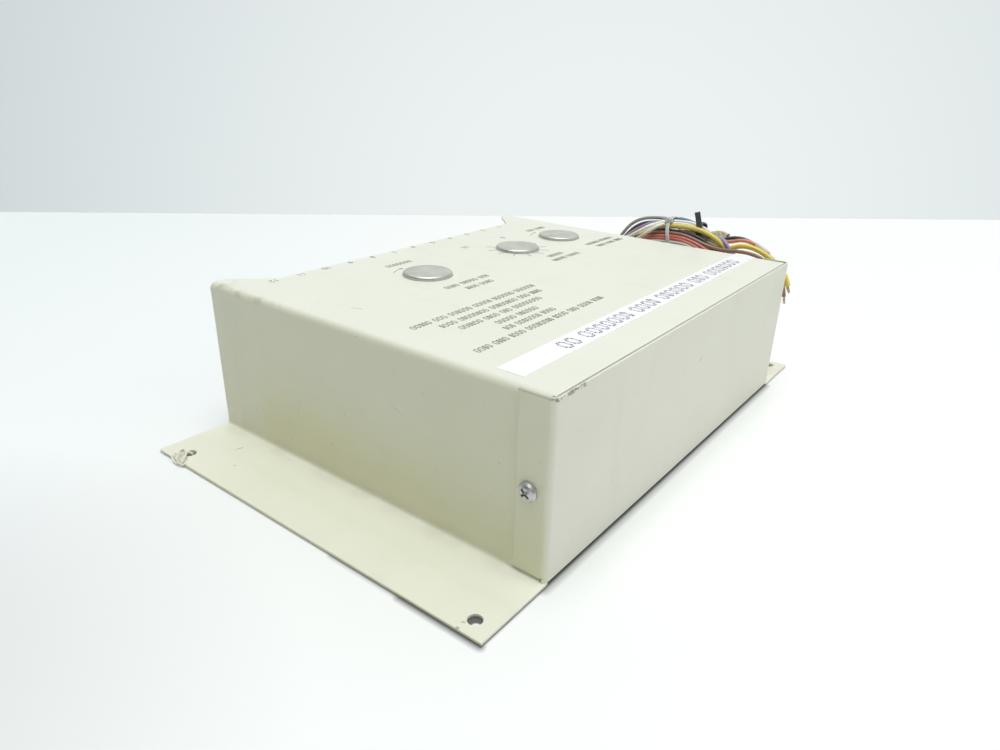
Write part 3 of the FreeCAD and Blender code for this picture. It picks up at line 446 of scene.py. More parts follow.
# Each wire, from the nearest to the case to the farthest. An opening wire goes first round the
# inner arch and then over the shown one to its end; a closing wire goes over the shown one first.
# Its crest is the inner arch's height, and floor, reach and back are its coil's limits. The shown
# arch's points are (Y, Z), and a third number is a point's own X.
Wire = namedtuple("Wire", "name order rgb crest floor reach back shown")
WIRES = [Wire(*row) for row in (
    ("silver", "closing", (190, 192, 180), 67.5, 8.5, 58, -12,
     [(-24, 53), (-15, 61), (-6, 67.5), (3, 71.5), (13.5, 73.4), (24, 74.1), (32, 74),
      (38.5, 71.8), (45, 68.3), (51, 62.5), (55.5, 55)]),
    ("red", "closing", (194, 106, 90), 68.5, 5.5, 60, -14,
     [(-24, 53), (-15.5, 61.5), (-6, 68.5), (2, 72), (10, 74.2), (19, 75.4), (27, 75.9),
      (34.5, 74.6), (41.5, 72), (48, 67.8), (53.5, 61.5), (57.5, 54)]),
    ("scarlet", "closing", (204, 116, 98), 69, 10, 62, -11,
     [(-23.5, 53), (-15, 62.5), (-6, 69.5), (2, 73.4), (9.5, 75.6), (18, 76.8), (27, 77.2),
      (35, 75.8), (43, 73), (49.5, 69.3), (55.5, 63), (60, 55)]),
    ("brown", "opening", (154, 118, 106), 70.5, 6.5, 60, -35,
     [(-34, 52), (-30, 60), (-22, 66.5), (-12, 70.5), (-2, 74), (8, 77.4), (18, 78.6),
      (28, 78.8), (36, 76.8), (44, 74.4), (53, 73.1), (62, 73.9), (70, 74.3), (78, 73),
      (86, 69), (92, 62.5), (95.5, 56.5), (96.2, 52)]),
    ("black", "closing", (46, 44, 48), 72, 9, 63, -13,
     [(-24.5, 54), (-16, 64), (-7, 71), (0, 75), (8, 78.4), (19, 80), (31, 79.6),
      (39.5, 77.8), (46, 74), (52, 69.5), (57.5, 63), (61, 54.5)]),
    ("yellow", "closing", (232, 216, 112), 74, 6, 65, -15,
     [(-24, 54), (-16, 63.5), (-8, 70.5), (-1, 75), (6.5, 79.4), (14.5, 81.9), (25, 83.1),
      (35.5, 82.9), (44.5, 80.5), (52, 76.5), (58, 69.9), (62, 61), (64, 52)]),
    ("lemon", "opening", (240, 216, 96), 74, 10.5, 62, -36,
     [(-35, 52), (-31, 60), (-23, 66), (-13, 70), (-3, 74), (8, 77.4), (19, 78.8), (28, 77.8),
      (36, 76.2), (44, 73.9), (51, 72.4), (57.5, 73.8), (64, 76.6), (71, 76.6), (78, 74.4),
      (85, 70.6), (90.5, 66), (94.6, 61), (95.8, 57.2)]),
    ("cream", "closing", (242, 238, 220), 75.5, 5, 66, -18,
     [(-27.5, 46, -126.4), (-20, 55.5, -126.4), (-10.5, 65, -126.4), (-2.5, 71.3, -126.4),
      (4.5, 76.6, -126.4), (8.5, 80.4, -128.6), (11.5, 82.8, -133.6), (16.5, 83.6, -138.8),
      (24, 83.9), (32, 83.4), (38.5, 81.2), (46, 77.5), (53, 72), (59, 64.5), (63.5, 55.5)]),
    ("coral", "opening", (228, 150, 124), 75.5, 8, 63, -35,
     [(-34, 52), (-29.5, 60.5), (-21, 66), (-12, 69), (-4, 73), (4, 77.5), (12.5, 80.5),
      (22, 82.5), (31.5, 82.6), (40, 80.6), (48, 77), (55.5, 76.6), (62, 79.2), (68.5, 78.8),
      (75, 76.6), (80.5, 73.2)]),
    ("white", "closing", (247, 247, 243), 79, 11, 63, -17,
     [(-30, 48.5, -126.4), (-23.5, 58, -126.4), (-14.5, 67, -126.4), (-6, 73.5, -126.4),
      (1, 78.4, -126.4), (5.5, 81.6, -128.6), (9, 83.2, -134), (12, 83.9, -139.6),
      (16, 84.4, -143.6), (24, 84.7), (32, 84), (40, 81.4), (47, 77), (53.5, 70.5),
      (58.5, 62), (61.5, 53)]),
    ("purple", "opening", (172, 160, 204), 77, 7, 62, -34,
     [(-32.5, 52), (-27.5, 60), (-20.5, 67), (-12, 74.2), (-3, 79.6), (7, 82), (20, 82.4),
      (32, 81.4), (40, 79.6), (46.5, 78.9, -143.5), (50.8, 78.8, -140.2), (54.2, 77.7, -137.9),
      (57, 75, -137.2), (59.2, 71.6, -137.2), (61.5, 66.5, -137.4), (64.4, 59, -137.8),
      (66.5, 51, -139), (67, 41)]),
    ("blue", "closing", (122, 148, 188), 76, 10.5, 62, -16,
     [(-24, 53), (-16, 61), (-8.5, 68), (-1, 75.5), (7, 81.7), (12.5, 84), (18, 85.6),
      (24, 85.3), (29, 83.8), (37, 81), (42.5, 78), (49, 72.5), (55, 65), (59.5, 56)]),
    ("charcoal", "opening", (70, 72, 74), 76, 6, 64, -35,
     [(-34.2, 52), (-29, 59.5), (-21.5, 67.5), (-16, 73.9), (-9.5, 78.4), (-2, 80.2), (6, 81.2),
      (19, 82), (31, 81), (40, 78), (48, 76), (54.5, 78.4), (61.5, 78.7), (68, 76.6), (75, 73),
      (82, 68.5), (88, 62), (92, 54.5)]),
    ("grey", "opening", (178, 180, 176), 77.5, 7.5, 65, -36.5,
     [(-35.5, 52), (-31, 59.5), (-25.2, 68), (-19.4, 76), (-11.5, 81), (-2.5, 83), (7, 83.6),
      (20, 83.8), (31, 82.6), (38, 79.2), (46, 75), (53, 70), (60, 63.5), (66, 55), (69, 46),
      (70, 37)]),
)]


def grommet_spots():
    """Places of the wires' middles in the grommet's bore, the highest first."""
    spots = []
    for count, radius in GROMMET_RINGS:
        for i in range(count):
            angle = 2 * math.pi * (i + 0.25) / count
            spots.append((radius * math.cos(angle), radius * math.sin(angle)))
    return sorted(spots, key=lambda spot: -spot[1])


def inner_arch(left, right, crest):
    """Points of a plain arch from one foot to the other, as (Y, Z)."""
    steps = ((0.0, 0.0), (0.1, 0.42), (0.24, 0.74), (0.42, 0.93), (0.58, 1.0), (0.74, 0.96),
             (0.87, 0.72), (0.96, 0.38))
    return [(left + (right - left) * along, ARCH_FOOT + (crest - ARCH_FOOT) * up)
            for along, up in steps]


def lower_turn(reach, floor, back):
    """Points of the turn's lower half, from the cover side round to the terminal side."""
    middle_y, middle_z = COIL_MIDDLE
    points = []
    for i in range(9):
        angle = math.radians(180 + 22.5 * i)
        across, down = math.cos(angle), -math.sin(angle)
        side = (middle_y - back) if across > 0 else (reach - middle_y)
        y = middle_y - side * math.copysign(abs(across) ** COIL_ROUNDNESS, across)
        z = middle_z - (middle_z - floor) * abs(down) ** COIL_ROUNDNESS
        points.append((y, z))
    return points


def wire_points(index, spot, wire):
    """Control points from inside the case, round the coil and on to the free end."""
    x = NEAREST_X - WIRE_SPACING * index
    y0, z0 = GROMMET[0] + spot[0], GROMMET[1] + spot[1]
    swing = (x + 121.0) * 0.62
    points = [(-113.0, y0, z0), (-117.5, y0, z0), (GROMMET_FACE_X, y0 + 0.2, z0)]
    if wire.name in STARTS_IN_FRONT:
        points.append((FRONT_X + 1.6, y0 + 1.0, z0 + 1.6))
    else:
        points += [(-121.0 + swing, y0 + 1.6, z0 + 0.6), (x + 1.2, y0 + 3.4, z0 + 6.5)]
    lower = lower_turn(wire.reach, wire.floor, wire.back)
    if wire.order == "opening":
        turn = inner_arch(-24.5, wire.reach - 1, wire.crest) + lower + wire.shown
    else:
        turn = wire.shown + lower + inner_arch(wire.back + 1, wire.reach - 8, wire.crest)
        turn += [(wire.reach - 9, 47), (wire.reach - 10, 39)]
    for i, (y, z, *own_x) in enumerate(turn):
        drift = 0.2 * math.sin(0.7 * i + 2.1 * index)
        points.append((own_x[0] if own_x else x + drift, y, z))
    return points


def nurbs_curve(name, points, diameter, cyclic=False):
    """A smooth round cord whose control points are the points, in millimetres."""
    data = bpy.data.curves.new(name, "CURVE")
    data.dimensions = "3D"
    data.bevel_depth = diameter * MM / 2
    data.bevel_resolution = 5
    data.resolution_u = 6
    data.use_fill_caps = True
    spline = data.splines.new("NURBS")
    spline.points.add(len(points) - 1)
    for place, point in zip(spline.points, points):
        place.co = (*mm(*point), 1.0)
    spline.order_u = 3
    if cyclic:
        spline.use_cyclic_u = True
    else:
        spline.use_endpoint_u = True
    return data


def curve_line(data):
    """The points of the curve's own smooth line, in metres."""
    depth = data.bevel_depth
    data.bevel_depth = 0.0
    holder = bpy.data.objects.new("line_reader", data)
    mesh = bpy.data.meshes.new_from_object(holder)
    line = [vertex.co.copy() for vertex in mesh.vertices]
    bpy.data.objects.remove(holder)
    bpy.data.meshes.remove(mesh)
    data.bevel_depth = depth
    return line


def line_through(name, points, cyclic=False):
    """The smooth line that points in millimetres steer."""
    return curve_line(nurbs_curve(name, points, 1.0, cyclic))


def wire_finish(name, rgb):
    """Glossy extruded vinyl, a little uneven in tone, with handling dust."""
    clean = colour(*rgb)
    return two_tone(name, clean, [0.86 * part + 0.06 for part in clean], (90, 3), (700, 1, 0.03),
                    edges=(0.4, 0.7), gloss=(300, 2, 0.26, 0.42), Roughness=0.32, IOR=1.52)


def twisted_strands(line, count, ring_radius, strand_radius, pitch, sides=6):
    """A builder for strands twisted together round a line; the sizes are in millimetres."""
    def build(bm):
        run = [0.0]
        for a, b in zip(line, line[1:]):
            run.append(run[-1] + (b - a).length)
        for k in range(count):
            rings = []
            for (point, ahead, side), travelled in zip(carried_frames(line), run):
                other = ahead.cross(side)
                angle = 2 * math.pi * (k / count + travelled / (pitch * MM))
                way = side * math.cos(angle) + other * math.sin(angle)
                rings.append(circle(point + way * ring_radius * MM, side, other,
                                    strand_radius * MM, sides))
            loft(bm, rings)
    return build


def stripped_end(name, line):
    """Tinned strands twisted together past the end of the insulation."""
    ahead = (line[-1] - line[-3]).normalized()
    bare = [line[-1] + ahead * (0.7 * i - 0.5) * MM for i in range(8)]
    return mesh_from(twisted_strands(bare, 6, 0.5, 0.27, 14), name)


def make_sleeve(line):
    """A clear shrink sleeve over the last centimetre of a wire."""
    covered = [point for point in line if (line[-1] - point).length < 10 * MM]

    def build(bm):
        loft(bm, [circle(point, side, ahead.cross(side), (1.55 + 0.1 * math.sin(1.9 * i)) * MM, 14)
                  for i, (point, ahead, side) in enumerate(carried_frames(covered))])
    finish = two_tone("clear_sleeve", (0.9, 0.9, 0.88), (0.98, 0.98, 0.97), (400, 2),
                      (500, 2, 0.15), Roughness=0.3, Transmission_Weight=0.3, IOR=1.45)
    return add_piece("wire_coral_sleeve", mesh_from(build, "clear_sleeve"), finish)


def make_harness():
    copper = two_tone("tinned_copper", (0.7, 0.52, 0.38), (0.8, 0.76, 0.7), (900, 2),
                      (1500, 1, 0.05), edges=(0.35, 0.65), Metallic=1.0, Roughness=0.35)
    columns = sorted(range(len(WIRES)), key=lambda i: (WIRES[i].name not in STARTS_IN_FRONT, i))
    for spot, index in zip(grommet_spots(), columns):
        row = WIRES[index]
        name = "wire_" + row.name
        diameter = THICK_WIRES.get(row.name, WIRE_DIAMETER)
        data = nurbs_curve(name, wire_points(index, spot, row), diameter)
        line = curve_line(data)
        wire = add_piece(name, data, wire_finish(name, row.rgb))
        ends = [add_piece(name + "_bare_end", stripped_end(name + "_end", line),
                          copper)]
        if row.name == "coral":
            ends.append(make_sleeve(line))
        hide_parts("harness_lead", "harness_coil")


# --- Ties, tape flag and tag string ---

CLEAR_LOOP = [(-137, 16, 85.6), (-132, 17.5, 82.5), (-128.6, 19.5, 79), (-126.8, 21.2, 75),
              (-126.6, 22.2, 70), (-128.4, 22.8, 65.6), (-133, 22.5, 66.9), (-140, 21, 70.8),
              (-147, 19, 73), (-152, 17.5, 73.8), (-154.4, 16.3, 77.4), (-154, 15.5, 81.5),
              (-151.5, 15.2, 84.8), (-147, 15.3, 86.8), (-142, 15.6, 86.6)]
CLEAR_STUB = [(-138, 16, 86.2), (-140.5, 13.5, 86.8), (-142.5, 10.5, 86.2), (-144, 8.6, 85.4)]
BLACK_LOOP = [(-139.9, 35.2, 82.6), (-141, 34.8, 84.4), (-145, 34.4, 86), (-149, 34, 85),
              (-152.8, 33.8, 83.6), (-154.2, 33.8, 81.2), (-153, 34, 78.9), (-148, 34.4, 78.4),
              (-143, 34.8, 78.4), (-140.4, 35.1, 79.6)]
BLACK_TAIL = [(-139.8, 36.3, 80), (-139.7, 35.7, 84), (-139.9, 34.4, 88.5), (-140.3, 32.9, 92.9)]
TAG_ROUTE = [(148.3, -84.2, 0.7), (149.6, -85.2, 2.4), (152.5, -86.8, 3.3), (155.5, -87.4, 3),
             (157.4, -87, 2.2), (157.7, -85.2, 1.2), (157.7, -82.6, 0.9), (157.7, -80.2, 1.1),
             (157.2, -79, 2.3), (155.4, -79.8, 3.2), (153, -82, 3.2), (151.2, -84.4, 3),
             (150.9, -86.4, 3.6), (152.6, -86.6, 4.4), (155, -84.8, 4.4), (157, -82.8, 3.5),
             (157.7, -81.4, 2.2), (157.7, -79.8, 1.4), (156.8, -77.6, 1.2)]


def strap(bm, line, width, thickness, joined=False, ridges=0.0):
    """A flat strap along a line, its width lying as near to Y as the line allows."""
    rings = []
    for i, (point, ahead, _) in enumerate(carried_frames(line, joined)):
        across = (Vector((0, 1, 0)) - ahead * ahead.y).normalized()
        half = thickness / 2 + (ridges if i % 2 else 0.0)
        rings.append(rounded_rectangle(point, across, ahead.cross(across), width / 2, half,
                                       thickness * 0.3, 2))
    loft(bm, rings, joined)


def tie_head(bm, centre, up, size, height):
    """A tie's lock: a round-cornered block with the recess that its tail comes out of."""
    across = Vector((0, 1, 0))
    out = up.cross(across).normalized()
    half = size / 2
    levels = ((-0.5, 0.86), (-0.42, 1.0), (0.42, 1.0), (0.5, 0.9), (0.5, 0.62), (0.2, 0.56))
    loft(bm, [rounded_rectangle(centre + up * (height * level * MM), across, out, half * share,
                                half * share, half * share * 0.3)
              for level, share in levels])


def make_ties():
    clear = two_tone("clear_nylon", (0.86, 0.87, 0.82), (0.95, 0.95, 0.92), (200, 3),
                     (900, 2, 0.04), Roughness=0.3, IOR=1.53, Transmission_Weight=0.5,
                     Subsurface_Weight=0.2)
    black = two_tone("black_nylon", (0.05, 0.062, 0.07), (0.1, 0.12, 0.13), (160, 3),
                     (1100, 2, 0.04), gloss=(500, 2, 0.36, 0.55), Roughness=0.42)

    def build_clear(bm):
        strap(bm, line_through("clear_loop", CLEAR_LOOP, True), 2.3, 0.9, joined=True)
        strap(bm, line_through("clear_stub", CLEAR_STUB), 2.2, 0.8)
        tie_head(bm, mm(-137.2, 16.2, 85.4), Vector((-0.35, 0, 0.94)), 4.4, 3.0)

    def build_black(bm):
        strap(bm, line_through("black_loop", BLACK_LOOP, True), 3.6, 1.0, joined=True)
        strap(bm, line_through("black_tail", BLACK_TAIL), 3.6, 0.8, ridges=0.12)
        tie_head(bm, mm(-140.5, 35.6, 79.8), Vector((0, 0, 1)), 3.0, 3.4)

    clear_tie = add_built("tie_clear", build_clear, clear)
    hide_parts("harness_tie_clear")
    black_tie = add_built("tie_black", build_black, black, smooth=False)
    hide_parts("harness_tie_black")


def make_tape_flag():
    """A scrap of masking tape folded over the wires between the two humps."""
    order = random.Random(7)
    across, rows = 9, 7
    crease = [[order.uniform(-0.55, 0.55) for _ in range(across)] for _ in range(rows)]

    def build(bm):
        grid = []
        for r in range(rows):
            share = r / (rows - 1)
            line = []
            for c in range(across):
                along = c / (across - 1)
                y = 42.6 + 10.8 * along + 0.9 * math.sin(5 * share) + crease[r][c] * 0.5
                z = 79.3 + 3.6 * math.sin(math.pi * share) * (0.65 + 0.35 * math.sin(3 * along))
                x = -144.6 + 4.6 * (share - 0.5) + crease[r][c] + 0.8 * along
                line.append(bm.verts.new(mm(x, y, z + crease[r][c] * 0.35)))
            grid.append(line)
        for lower, upper in zip(grid, grid[1:]):
            for c in range(across - 1):
                bm.faces.new((lower[c], lower[c + 1], upper[c + 1], upper[c]))
    finish = two_tone("masking_tape", colour(186, 178, 146), colour(222, 214, 186),
                      (260, 4, 0.6, (1, 0.3, 1)), (600, 3, 0.12), Roughness=0.75)
    flag = add_built("tape_flag", build, finish, smooth=False)
    flag.modifiers.new("thickness", "SOLIDIFY").thickness = 0.25 * MM


def make_tag_string():
    twine = two_tone("cotton_twine", colour(226, 224, 210), colour(253, 251, 242), (1500, 3),
                     (3500, 2, 0.08), Roughness=0.9, Sheen_Weight=0.3)
    line = line_through("tag_route", TAG_ROUTE)
    strands = twisted_strands(line, 2, 0.27, 0.32, 2.2, sides=8)
    string = add_built("tag_twine", strands, twine)
    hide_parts("tag_string")


make_harness()
make_ties()
make_tape_flag()
make_tag_string()


# --- Finishes of the CAD parts ---

TOP_PLATE = 76.2
COVER_LIP_Y = 84.5

# Scratches and rubs in the paint: their ends, width, strength and colour.
SCRATCHES = [
    ((99.8, -20.4, 76.2), (97.6, -16.2, 76.2), 0.4, 0.75, (0.12, 0.12, 0.1)),
    ((134, -71.9, 1.5), (132.4, -71.5, 1.5), 0.3, 0.55, (0.2, 0.2, 0.16)),
    ((132.2, -71.4, 1.5), (130.2, -70.7, 1.5), 0.45, 0.8, (0.16, 0.16, 0.13)),
    ((142.6, -59.5, 1.5), (142.2, -58.6, 1.5), 0.5, 0.5, (0.2, 0.2, 0.16)),
    ((155.9, 88.6, 1.4), (155.8, 89, 1.4), 0.8, 0.8, (0.14, 0.14, 0.12)),
    ((152.4, 89, 1.5), (152.8, 88.2, 1.5), 0.6, 0.6, (0.16, 0.16, 0.13)),
    ((136, -20, 1.5), (139, -23, 1.5), 0.25, 0.3, (0.3, 0.3, 0.24)),
    ((-2, 99.5, 52), (-5.5, 99.5, 53), 0.5, 0.4, (0.3, 0.28, 0.24)),
    ((118.8, 20, 50), (118.8, 28, 47), 0.3, 0.25, (0.36, 0.35, 0.29)),
    ((118.8, -40, 30), (118.8, -36, 33), 0.3, 0.25, (0.36, 0.35, 0.29)),
    ((60, 10, 76.2), (66, 13, 76.2), 0.2, 0.2, (0.45, 0.45, 0.38)),
    ((-20, 20, 76.2), (-12, 16, 76.2), 0.2, 0.2, (0.45, 0.45, 0.38)),
    ((70, -70, 76.2), (73, -66, 76.2), 0.25, 0.25, (0.4, 0.4, 0.33)),
]


def paint():
    """Baked enamel on sheet steel: fine orange peel, darker patches in the bends, chips and
    scratches, with painted shade and painted light by facing, at the cut edges, round the plugs and
    at the cover's lip.
    """
    skin = Finish("cream_enamel", Roughness=0.42, IOR=1.5)
    place = skin.axes(skin.place())
    facing = skin.axes(skin.node("ShaderNodeNewGeometry").outputs["Normal"])

    def patches(noise, low, high, least=0.0, most=1.0):
        return skin.spread(skin.noise(*noise), low, high, least, most)

    def within(axis, low, high):
        """1 up to low and 0 from high on."""
        return skin.between(place[axis], low, high, 1.0, 0.0)

    # Painted shade: each way that the sheet faces has its own pair of tones, the end walls darker
    # and yellower and the sides and flanges a little darker, for how the light falls on them.
    flange = skin.times(within("Z", 1.4, 3), skin.spread(facing["Z"], 0.5, 0.9))
    ends = skin.spread(skin.away(facing["X"], 0), 0.1, 1.0)
    sides = skin.spread(skin.away(facing["Y"], 0), 0.3, 1.0)
    cloud = patches((14, 4, 0.6), 0.3, 0.7)
    skin.base = skin.mix(cloud, (0.765, 0.79, 0.685), (0.8, 0.82, 0.725))
    for share, dull, clean in ((flange, (0.755, 0.765, 0.625), (0.785, 0.795, 0.665)),
                               (ends, (0.73, 0.735, 0.56), (0.765, 0.765, 0.6)),
                               (sides, (0.75, 0.75, 0.64), (0.785, 0.785, 0.685))):
        skin.base = skin.mix(share, skin.base, skin.mix(cloud, dull, clean))

    # Layers of wear, painted shade and painted light, the lowest first: strength, tone and the
    # masks that bound it.
    layers = [
        # stains low on the end walls
        (0.52, (0.735, 0.72, 0.46), within("Z", 19, 48), skin.between(place["Y"], -78, -60),
         patches((24, 4), 0.35, 0.62, 0.65, 1.3), ends),
        # painted light: a paler foot of the end walls
        (0.5, (0.86, 0.85, 0.64), ends, within("Z", 3, 13)),
        # painted light: the flanges paler near the walls, against the shade of the bend
        (1.0, (0.95, 0.965, 0.83), skin.between(skin.away(place["X"], 0), 119, 137, 1.0, 0.0),
         flange),
        # faint upright streaks
        (0.12, (0.52, 0.51, 0.4), patches((46, 4, 0.65, (1, 1, 0.12)), 0.56, 0.78)),
        # darker patches in the flange's bend
        (0.14, (0.34, 0.33, 0.24), patches((70, 4), 0.42, 0.66),
         skin.between(skin.away(place["Z"], 1.5), 0, 6, 1.0, 0.0),
         skin.between(skin.away(place["X"], 121), 0, 6, 1.0, 0.0)),
        # dust specks
        (0.45, (0.28, 0.26, 0.2), patches((620,), 0.735, 0.78)),
        # a smudge at the top plate's corner, and dirt along its end
        (0.55, (0.42, 0.4, 0.31), patches((130, 4), 0.4, 0.62),
         skin.near_segment((113, -92, TOP_PLATE), (117, -95, TOP_PLATE), 7)),
        (0.5, (0.38, 0.36, 0.28), patches((170, 5), 0.48, 0.62),
         skin.near_segment((118.4, -95, 75.8), (118.4, -48, 75.8), 3.5)),
        # painted shadow: the lower part of the flanges' cut edge, darker towards the near end, in
        # the gap by the table
        (0.85, (0.15, 0.15, 0.13), within("Z", 0.3, 0.9), skin.between(place["X"], -100, 100),
         skin.between(place["Y"], 0, 80, 0.4, 1.0)),
    ]
    for strength, tone, *masks in layers:
        skin.tint(skin.times(*masks), strength, tone)

    # Painted shade and grime: a dark ring on the paint round the rim of each plug.
    for plug in PLUGS:
        low, high = box_mm(plug)
        middle, reach = (low + high) / 2, (high.x - low.x) / 2 + 0.35
        ring = skin.near_segment((middle.x, middle.y, TOP_PLATE),
                                 (middle.x, middle.y, TOP_PLATE - 0.1), reach)
        skin.tint(skin.spread(ring, 0.0, 0.3 / reach), 0.8, (0.08, 0.08, 0.07))
    for x in (119.4, -119.4):
        seam = skin.near_segment((x, COVER_LIP_Y, 8), (x, COVER_LIP_Y, 75), 1.2)
        skin.tint(seam, 0.25, (0.34, 0.33, 0.26))
        # Painted shadow: a dark line in the gap above the top of the cover's return.
        lip_gap_shadow = skin.near_segment((x, COVER_LIP_Y, 75.9), (x, 98.0, 75.9), 0.9)
        skin.tint(lip_gap_shadow, 0.8, (0.16, 0.15, 0.12))
    seam = skin.near_segment((-119.0, 98.5, TOP_PLATE), (119.0, 98.5, TOP_PLATE), 0.5)
    skin.tint(seam, 0.6, (0.2, 0.19, 0.16))
    for start, end, width, strength, tone in SCRATCHES:
        skin.tint(skin.near_segment(start, end, width), strength, tone)

    ragged = patches((330, 4, 0.7), 0.46, 0.53)
    row = skin.near_segment((101, 99.5, 75.6), (119, 99.5, 75.6), 1.4)
    nicks = skin.near_segment((119.8, 99.4, 74.6), (119.8, 99.4, 75.8), 0.8)
    chips = skin.maths("MAXIMUM", skin.times(ragged, skin.spread(row, 0.3, 0.6)),
                       skin.times(skin.spread(nicks, 0.3, 0.8), ragged))
    skin.tint(chips, 0.85, (0.17, 0.14, 0.12))
    skin.feed("Roughness", patches((60, 4), 0.3, 0.7, 0.36, 0.52))
    orange_peel = skin.times(skin.noise(420), 0.22)
    skin.bump(skin.maths("SUBTRACT", orange_peel, chips), 0.08)
    return skin


def metal(name, low, high, roughness, scale=220, stretch=(1, 1, 1), relief=0.02):
    """Plated or turned metal: two tones of plating, drawn or turned lines, uneven gloss."""
    skin = two_tone(name, low, high, (scale, 4, 0.6, stretch),
                    (scale * 4, 2, 0.5, stretch, relief), edges=(0.32, 0.68), Metallic=1.0,
                    Roughness=roughness)
    smear = skin.spread(skin.noise(55, 3), 0.55, 0.75)
    skin.tint(smear, 0.2, [0.6 * part for part in low])
    skin.feed("Roughness", skin.spread(skin.noise(scale * 2, 3, 0.6, stretch), 0.25, 0.75,
                                       roughness - 0.08, roughness + 0.12))
    return skin


def zinc_plate():
    """Zinc plating, with painted shade in the recesses of the cover screws."""
    skin = metal("zinc_plate", (0.5, 0.51, 0.52), (0.66, 0.66, 0.63), 0.4)
    low, high = box_mm("cover_screws")
    seat = (low + high) / 2
    # Painted shade: the middle of each cover screw's head darker, for its recess.
    recess_shade = skin.near_segment((low.x, seat.y, seat.z), (high.x, seat.y, seat.z), 2.1)
    skin.tint(skin.spread(recess_shade, 0.25, 0.75), 0.6, (0.1, 0.11, 0.11))
    return skin


def moulded(name, low, high, roughness, scale=160, **values):
    """Moulded plastic or rubber: faint flow marks and a fine matt skin."""
    return two_tone(name, low, high, (scale, 4, 0.6), (scale * 6, 2, 0.04), edges=(0.34, 0.68),
                    gloss=(scale * 3, 2, roughness - 0.06, roughness + 0.1), Roughness=roughness,
                    **values)


def banded(name, ground, band, stretch, pitch, roughness, share=0.55):
    """Wound tape or colour bands: stripes across one direction over a plain ground."""
    skin = Finish(name, Roughness=roughness, IOR=1.5)
    wave = skin.node("ShaderNodeTexWave",
                     {"Vector": skin.place(stretch), "Scale": 1 / (pitch * MM) / math.tau,
                      "Distortion": 0.6, "Detail": 1.0}).outputs["Fac"]
    skin.base = skin.mix(skin.spread(wave, share, share + 0.12), ground, band)
    dust = skin.spread(skin.noise(240, 3), 0.45, 0.75)
    skin.tint(dust, 0.25, (0.4, 0.38, 0.33))
    skin.bump(wave, 0.05)
    return skin


def laminate():
    """Solder-masked laminate: a weave under the mask, copper runs and tinned pads."""
    skin = Finish("board_laminate", Roughness=0.34, IOR=1.5)
    flat = (1, 1, 0.001)
    weave = skin.spread(skin.noise(900, 1), 0.4, 0.6)
    cells = skin.node("ShaderNodeTexBrick",
                      {"Vector": skin.place(flat), "Scale": 90.0, "Mortar Size": 0.12,
                       "Mortar Smooth": 0.1, "Brick Width": 0.9, "Row Height": 0.42},
                      offset=0.37, squash=1.6)
    runs = skin.spread(cells.outputs["Fac"], 0.4, 0.6)
    dots = skin.node("ShaderNodeTexVoronoi", {"Vector": skin.place(flat), "Scale": 110.0,
                                              "Randomness": 0.35})
    pads = skin.spread(dots.outputs["Distance"], 0.13, 0.17, 1.0, 0.0)
    skin.base = skin.mix(weave, (0.028, 0.115, 0.045), (0.036, 0.14, 0.055))
    skin.tint(runs, 1.0, (0.06, 0.23, 0.085))
    skin.tint(pads, 1.0, (0.55, 0.55, 0.52))
    skin.feed("Metallic", pads)
    skin.bump(skin.maths("ADD", runs, pads), 0.06)
    return skin


def label_tape():
    """White laminated label tape: glossy, hardly rippled, with a little handling grime."""
    skin = Finish("label_tape_white", Roughness=0.22, Coat_Weight=0.3)
    skin.base = (0.97, 0.97, 0.965)
    skin.tint(skin.spread(skin.noise(60, 4), 0.52, 0.8), 0.1, (0.8, 0.8, 0.79))
    skin.bump(skin.noise(45, stretch=(0.4, 1, 1)), 0.12)
    return skin


# The finish of each CAD node; a * stands for any letters.
FINISHES = [
    (metal("satin_nickel", (0.6, 0.61, 0.56), (0.72, 0.72, 0.66), 0.46, scale=120, relief=0.03),
     ("hole_plug_*",)),
    (zinc_plate(),
     ("board_rail_*", "board_screws", "cover_*", "terminal_bracket", "terminal_*screws",
      "transformer_screws", "transformer_strap")),
    (metal("turned_steel", (0.4, 0.4, 0.4), (0.58, 0.57, 0.55), 0.3, scale=300,
           stretch=(1, 1, 6), relief=0.04),
     ("pot_shaft_*", "relay_*_armature", "relay_*_yoke", "transformer_core")),
    (metal("pressed_can", (0.46, 0.47, 0.46), (0.6, 0.6, 0.57), 0.4), ("pot_body_*",)),
    (metal("tinned_brass", (0.62, 0.56, 0.4), (0.82, 0.8, 0.74), 0.33),
     ("pot_bushing_*", "relay_*_contact*", "terminal_plates", "wire_posts")),
    (moulded("black_phenolic", (0.016, 0.016, 0.017), (0.05, 0.048, 0.045), 0.42, scale=400),
     ("diodes", "op_amps", "relay_*_base", "transistors", "terminal_block")),
    (moulded("black_rubber", (0.018, 0.018, 0.018), (0.05, 0.05, 0.048), 0.62),
     ("wire_grommet",)),
    (moulded("white_nylon", (0.74, 0.72, 0.64), (0.86, 0.85, 0.79), 0.45, Subsurface_Weight=0.1),
     ("*_bobbin",)),
    (banded("winding_tape", (0.72, 0.5, 0.12), (0.56, 0.36, 0.07), (0.3, 1, 1), 3.0, 0.28),
     ("relay_*_coil", "transformer_winding")),
    (banded("blue_sleeve", (0.05, 0.12, 0.34), (0.07, 0.17, 0.42), (1, 1, 1), 4.0, 0.3),
     ("filter_capacitors",)),
    (moulded("film_capacitor_case", (0.6, 0.23, 0.05), (0.72, 0.31, 0.08), 0.3),
     ("film_capacitors",)),
    (banded("resistor_lacquer", (0.66, 0.52, 0.34), (0.26, 0.08, 0.04), (1, 1, 0.1), 1.9, 0.36,
            share=0.72),
     ("resistors",)),
    (paint(), ("housing", "end_cover")),
    (label_tape(), ("label_tape",)),
    (laminate(), ("circuit_board",)),
]
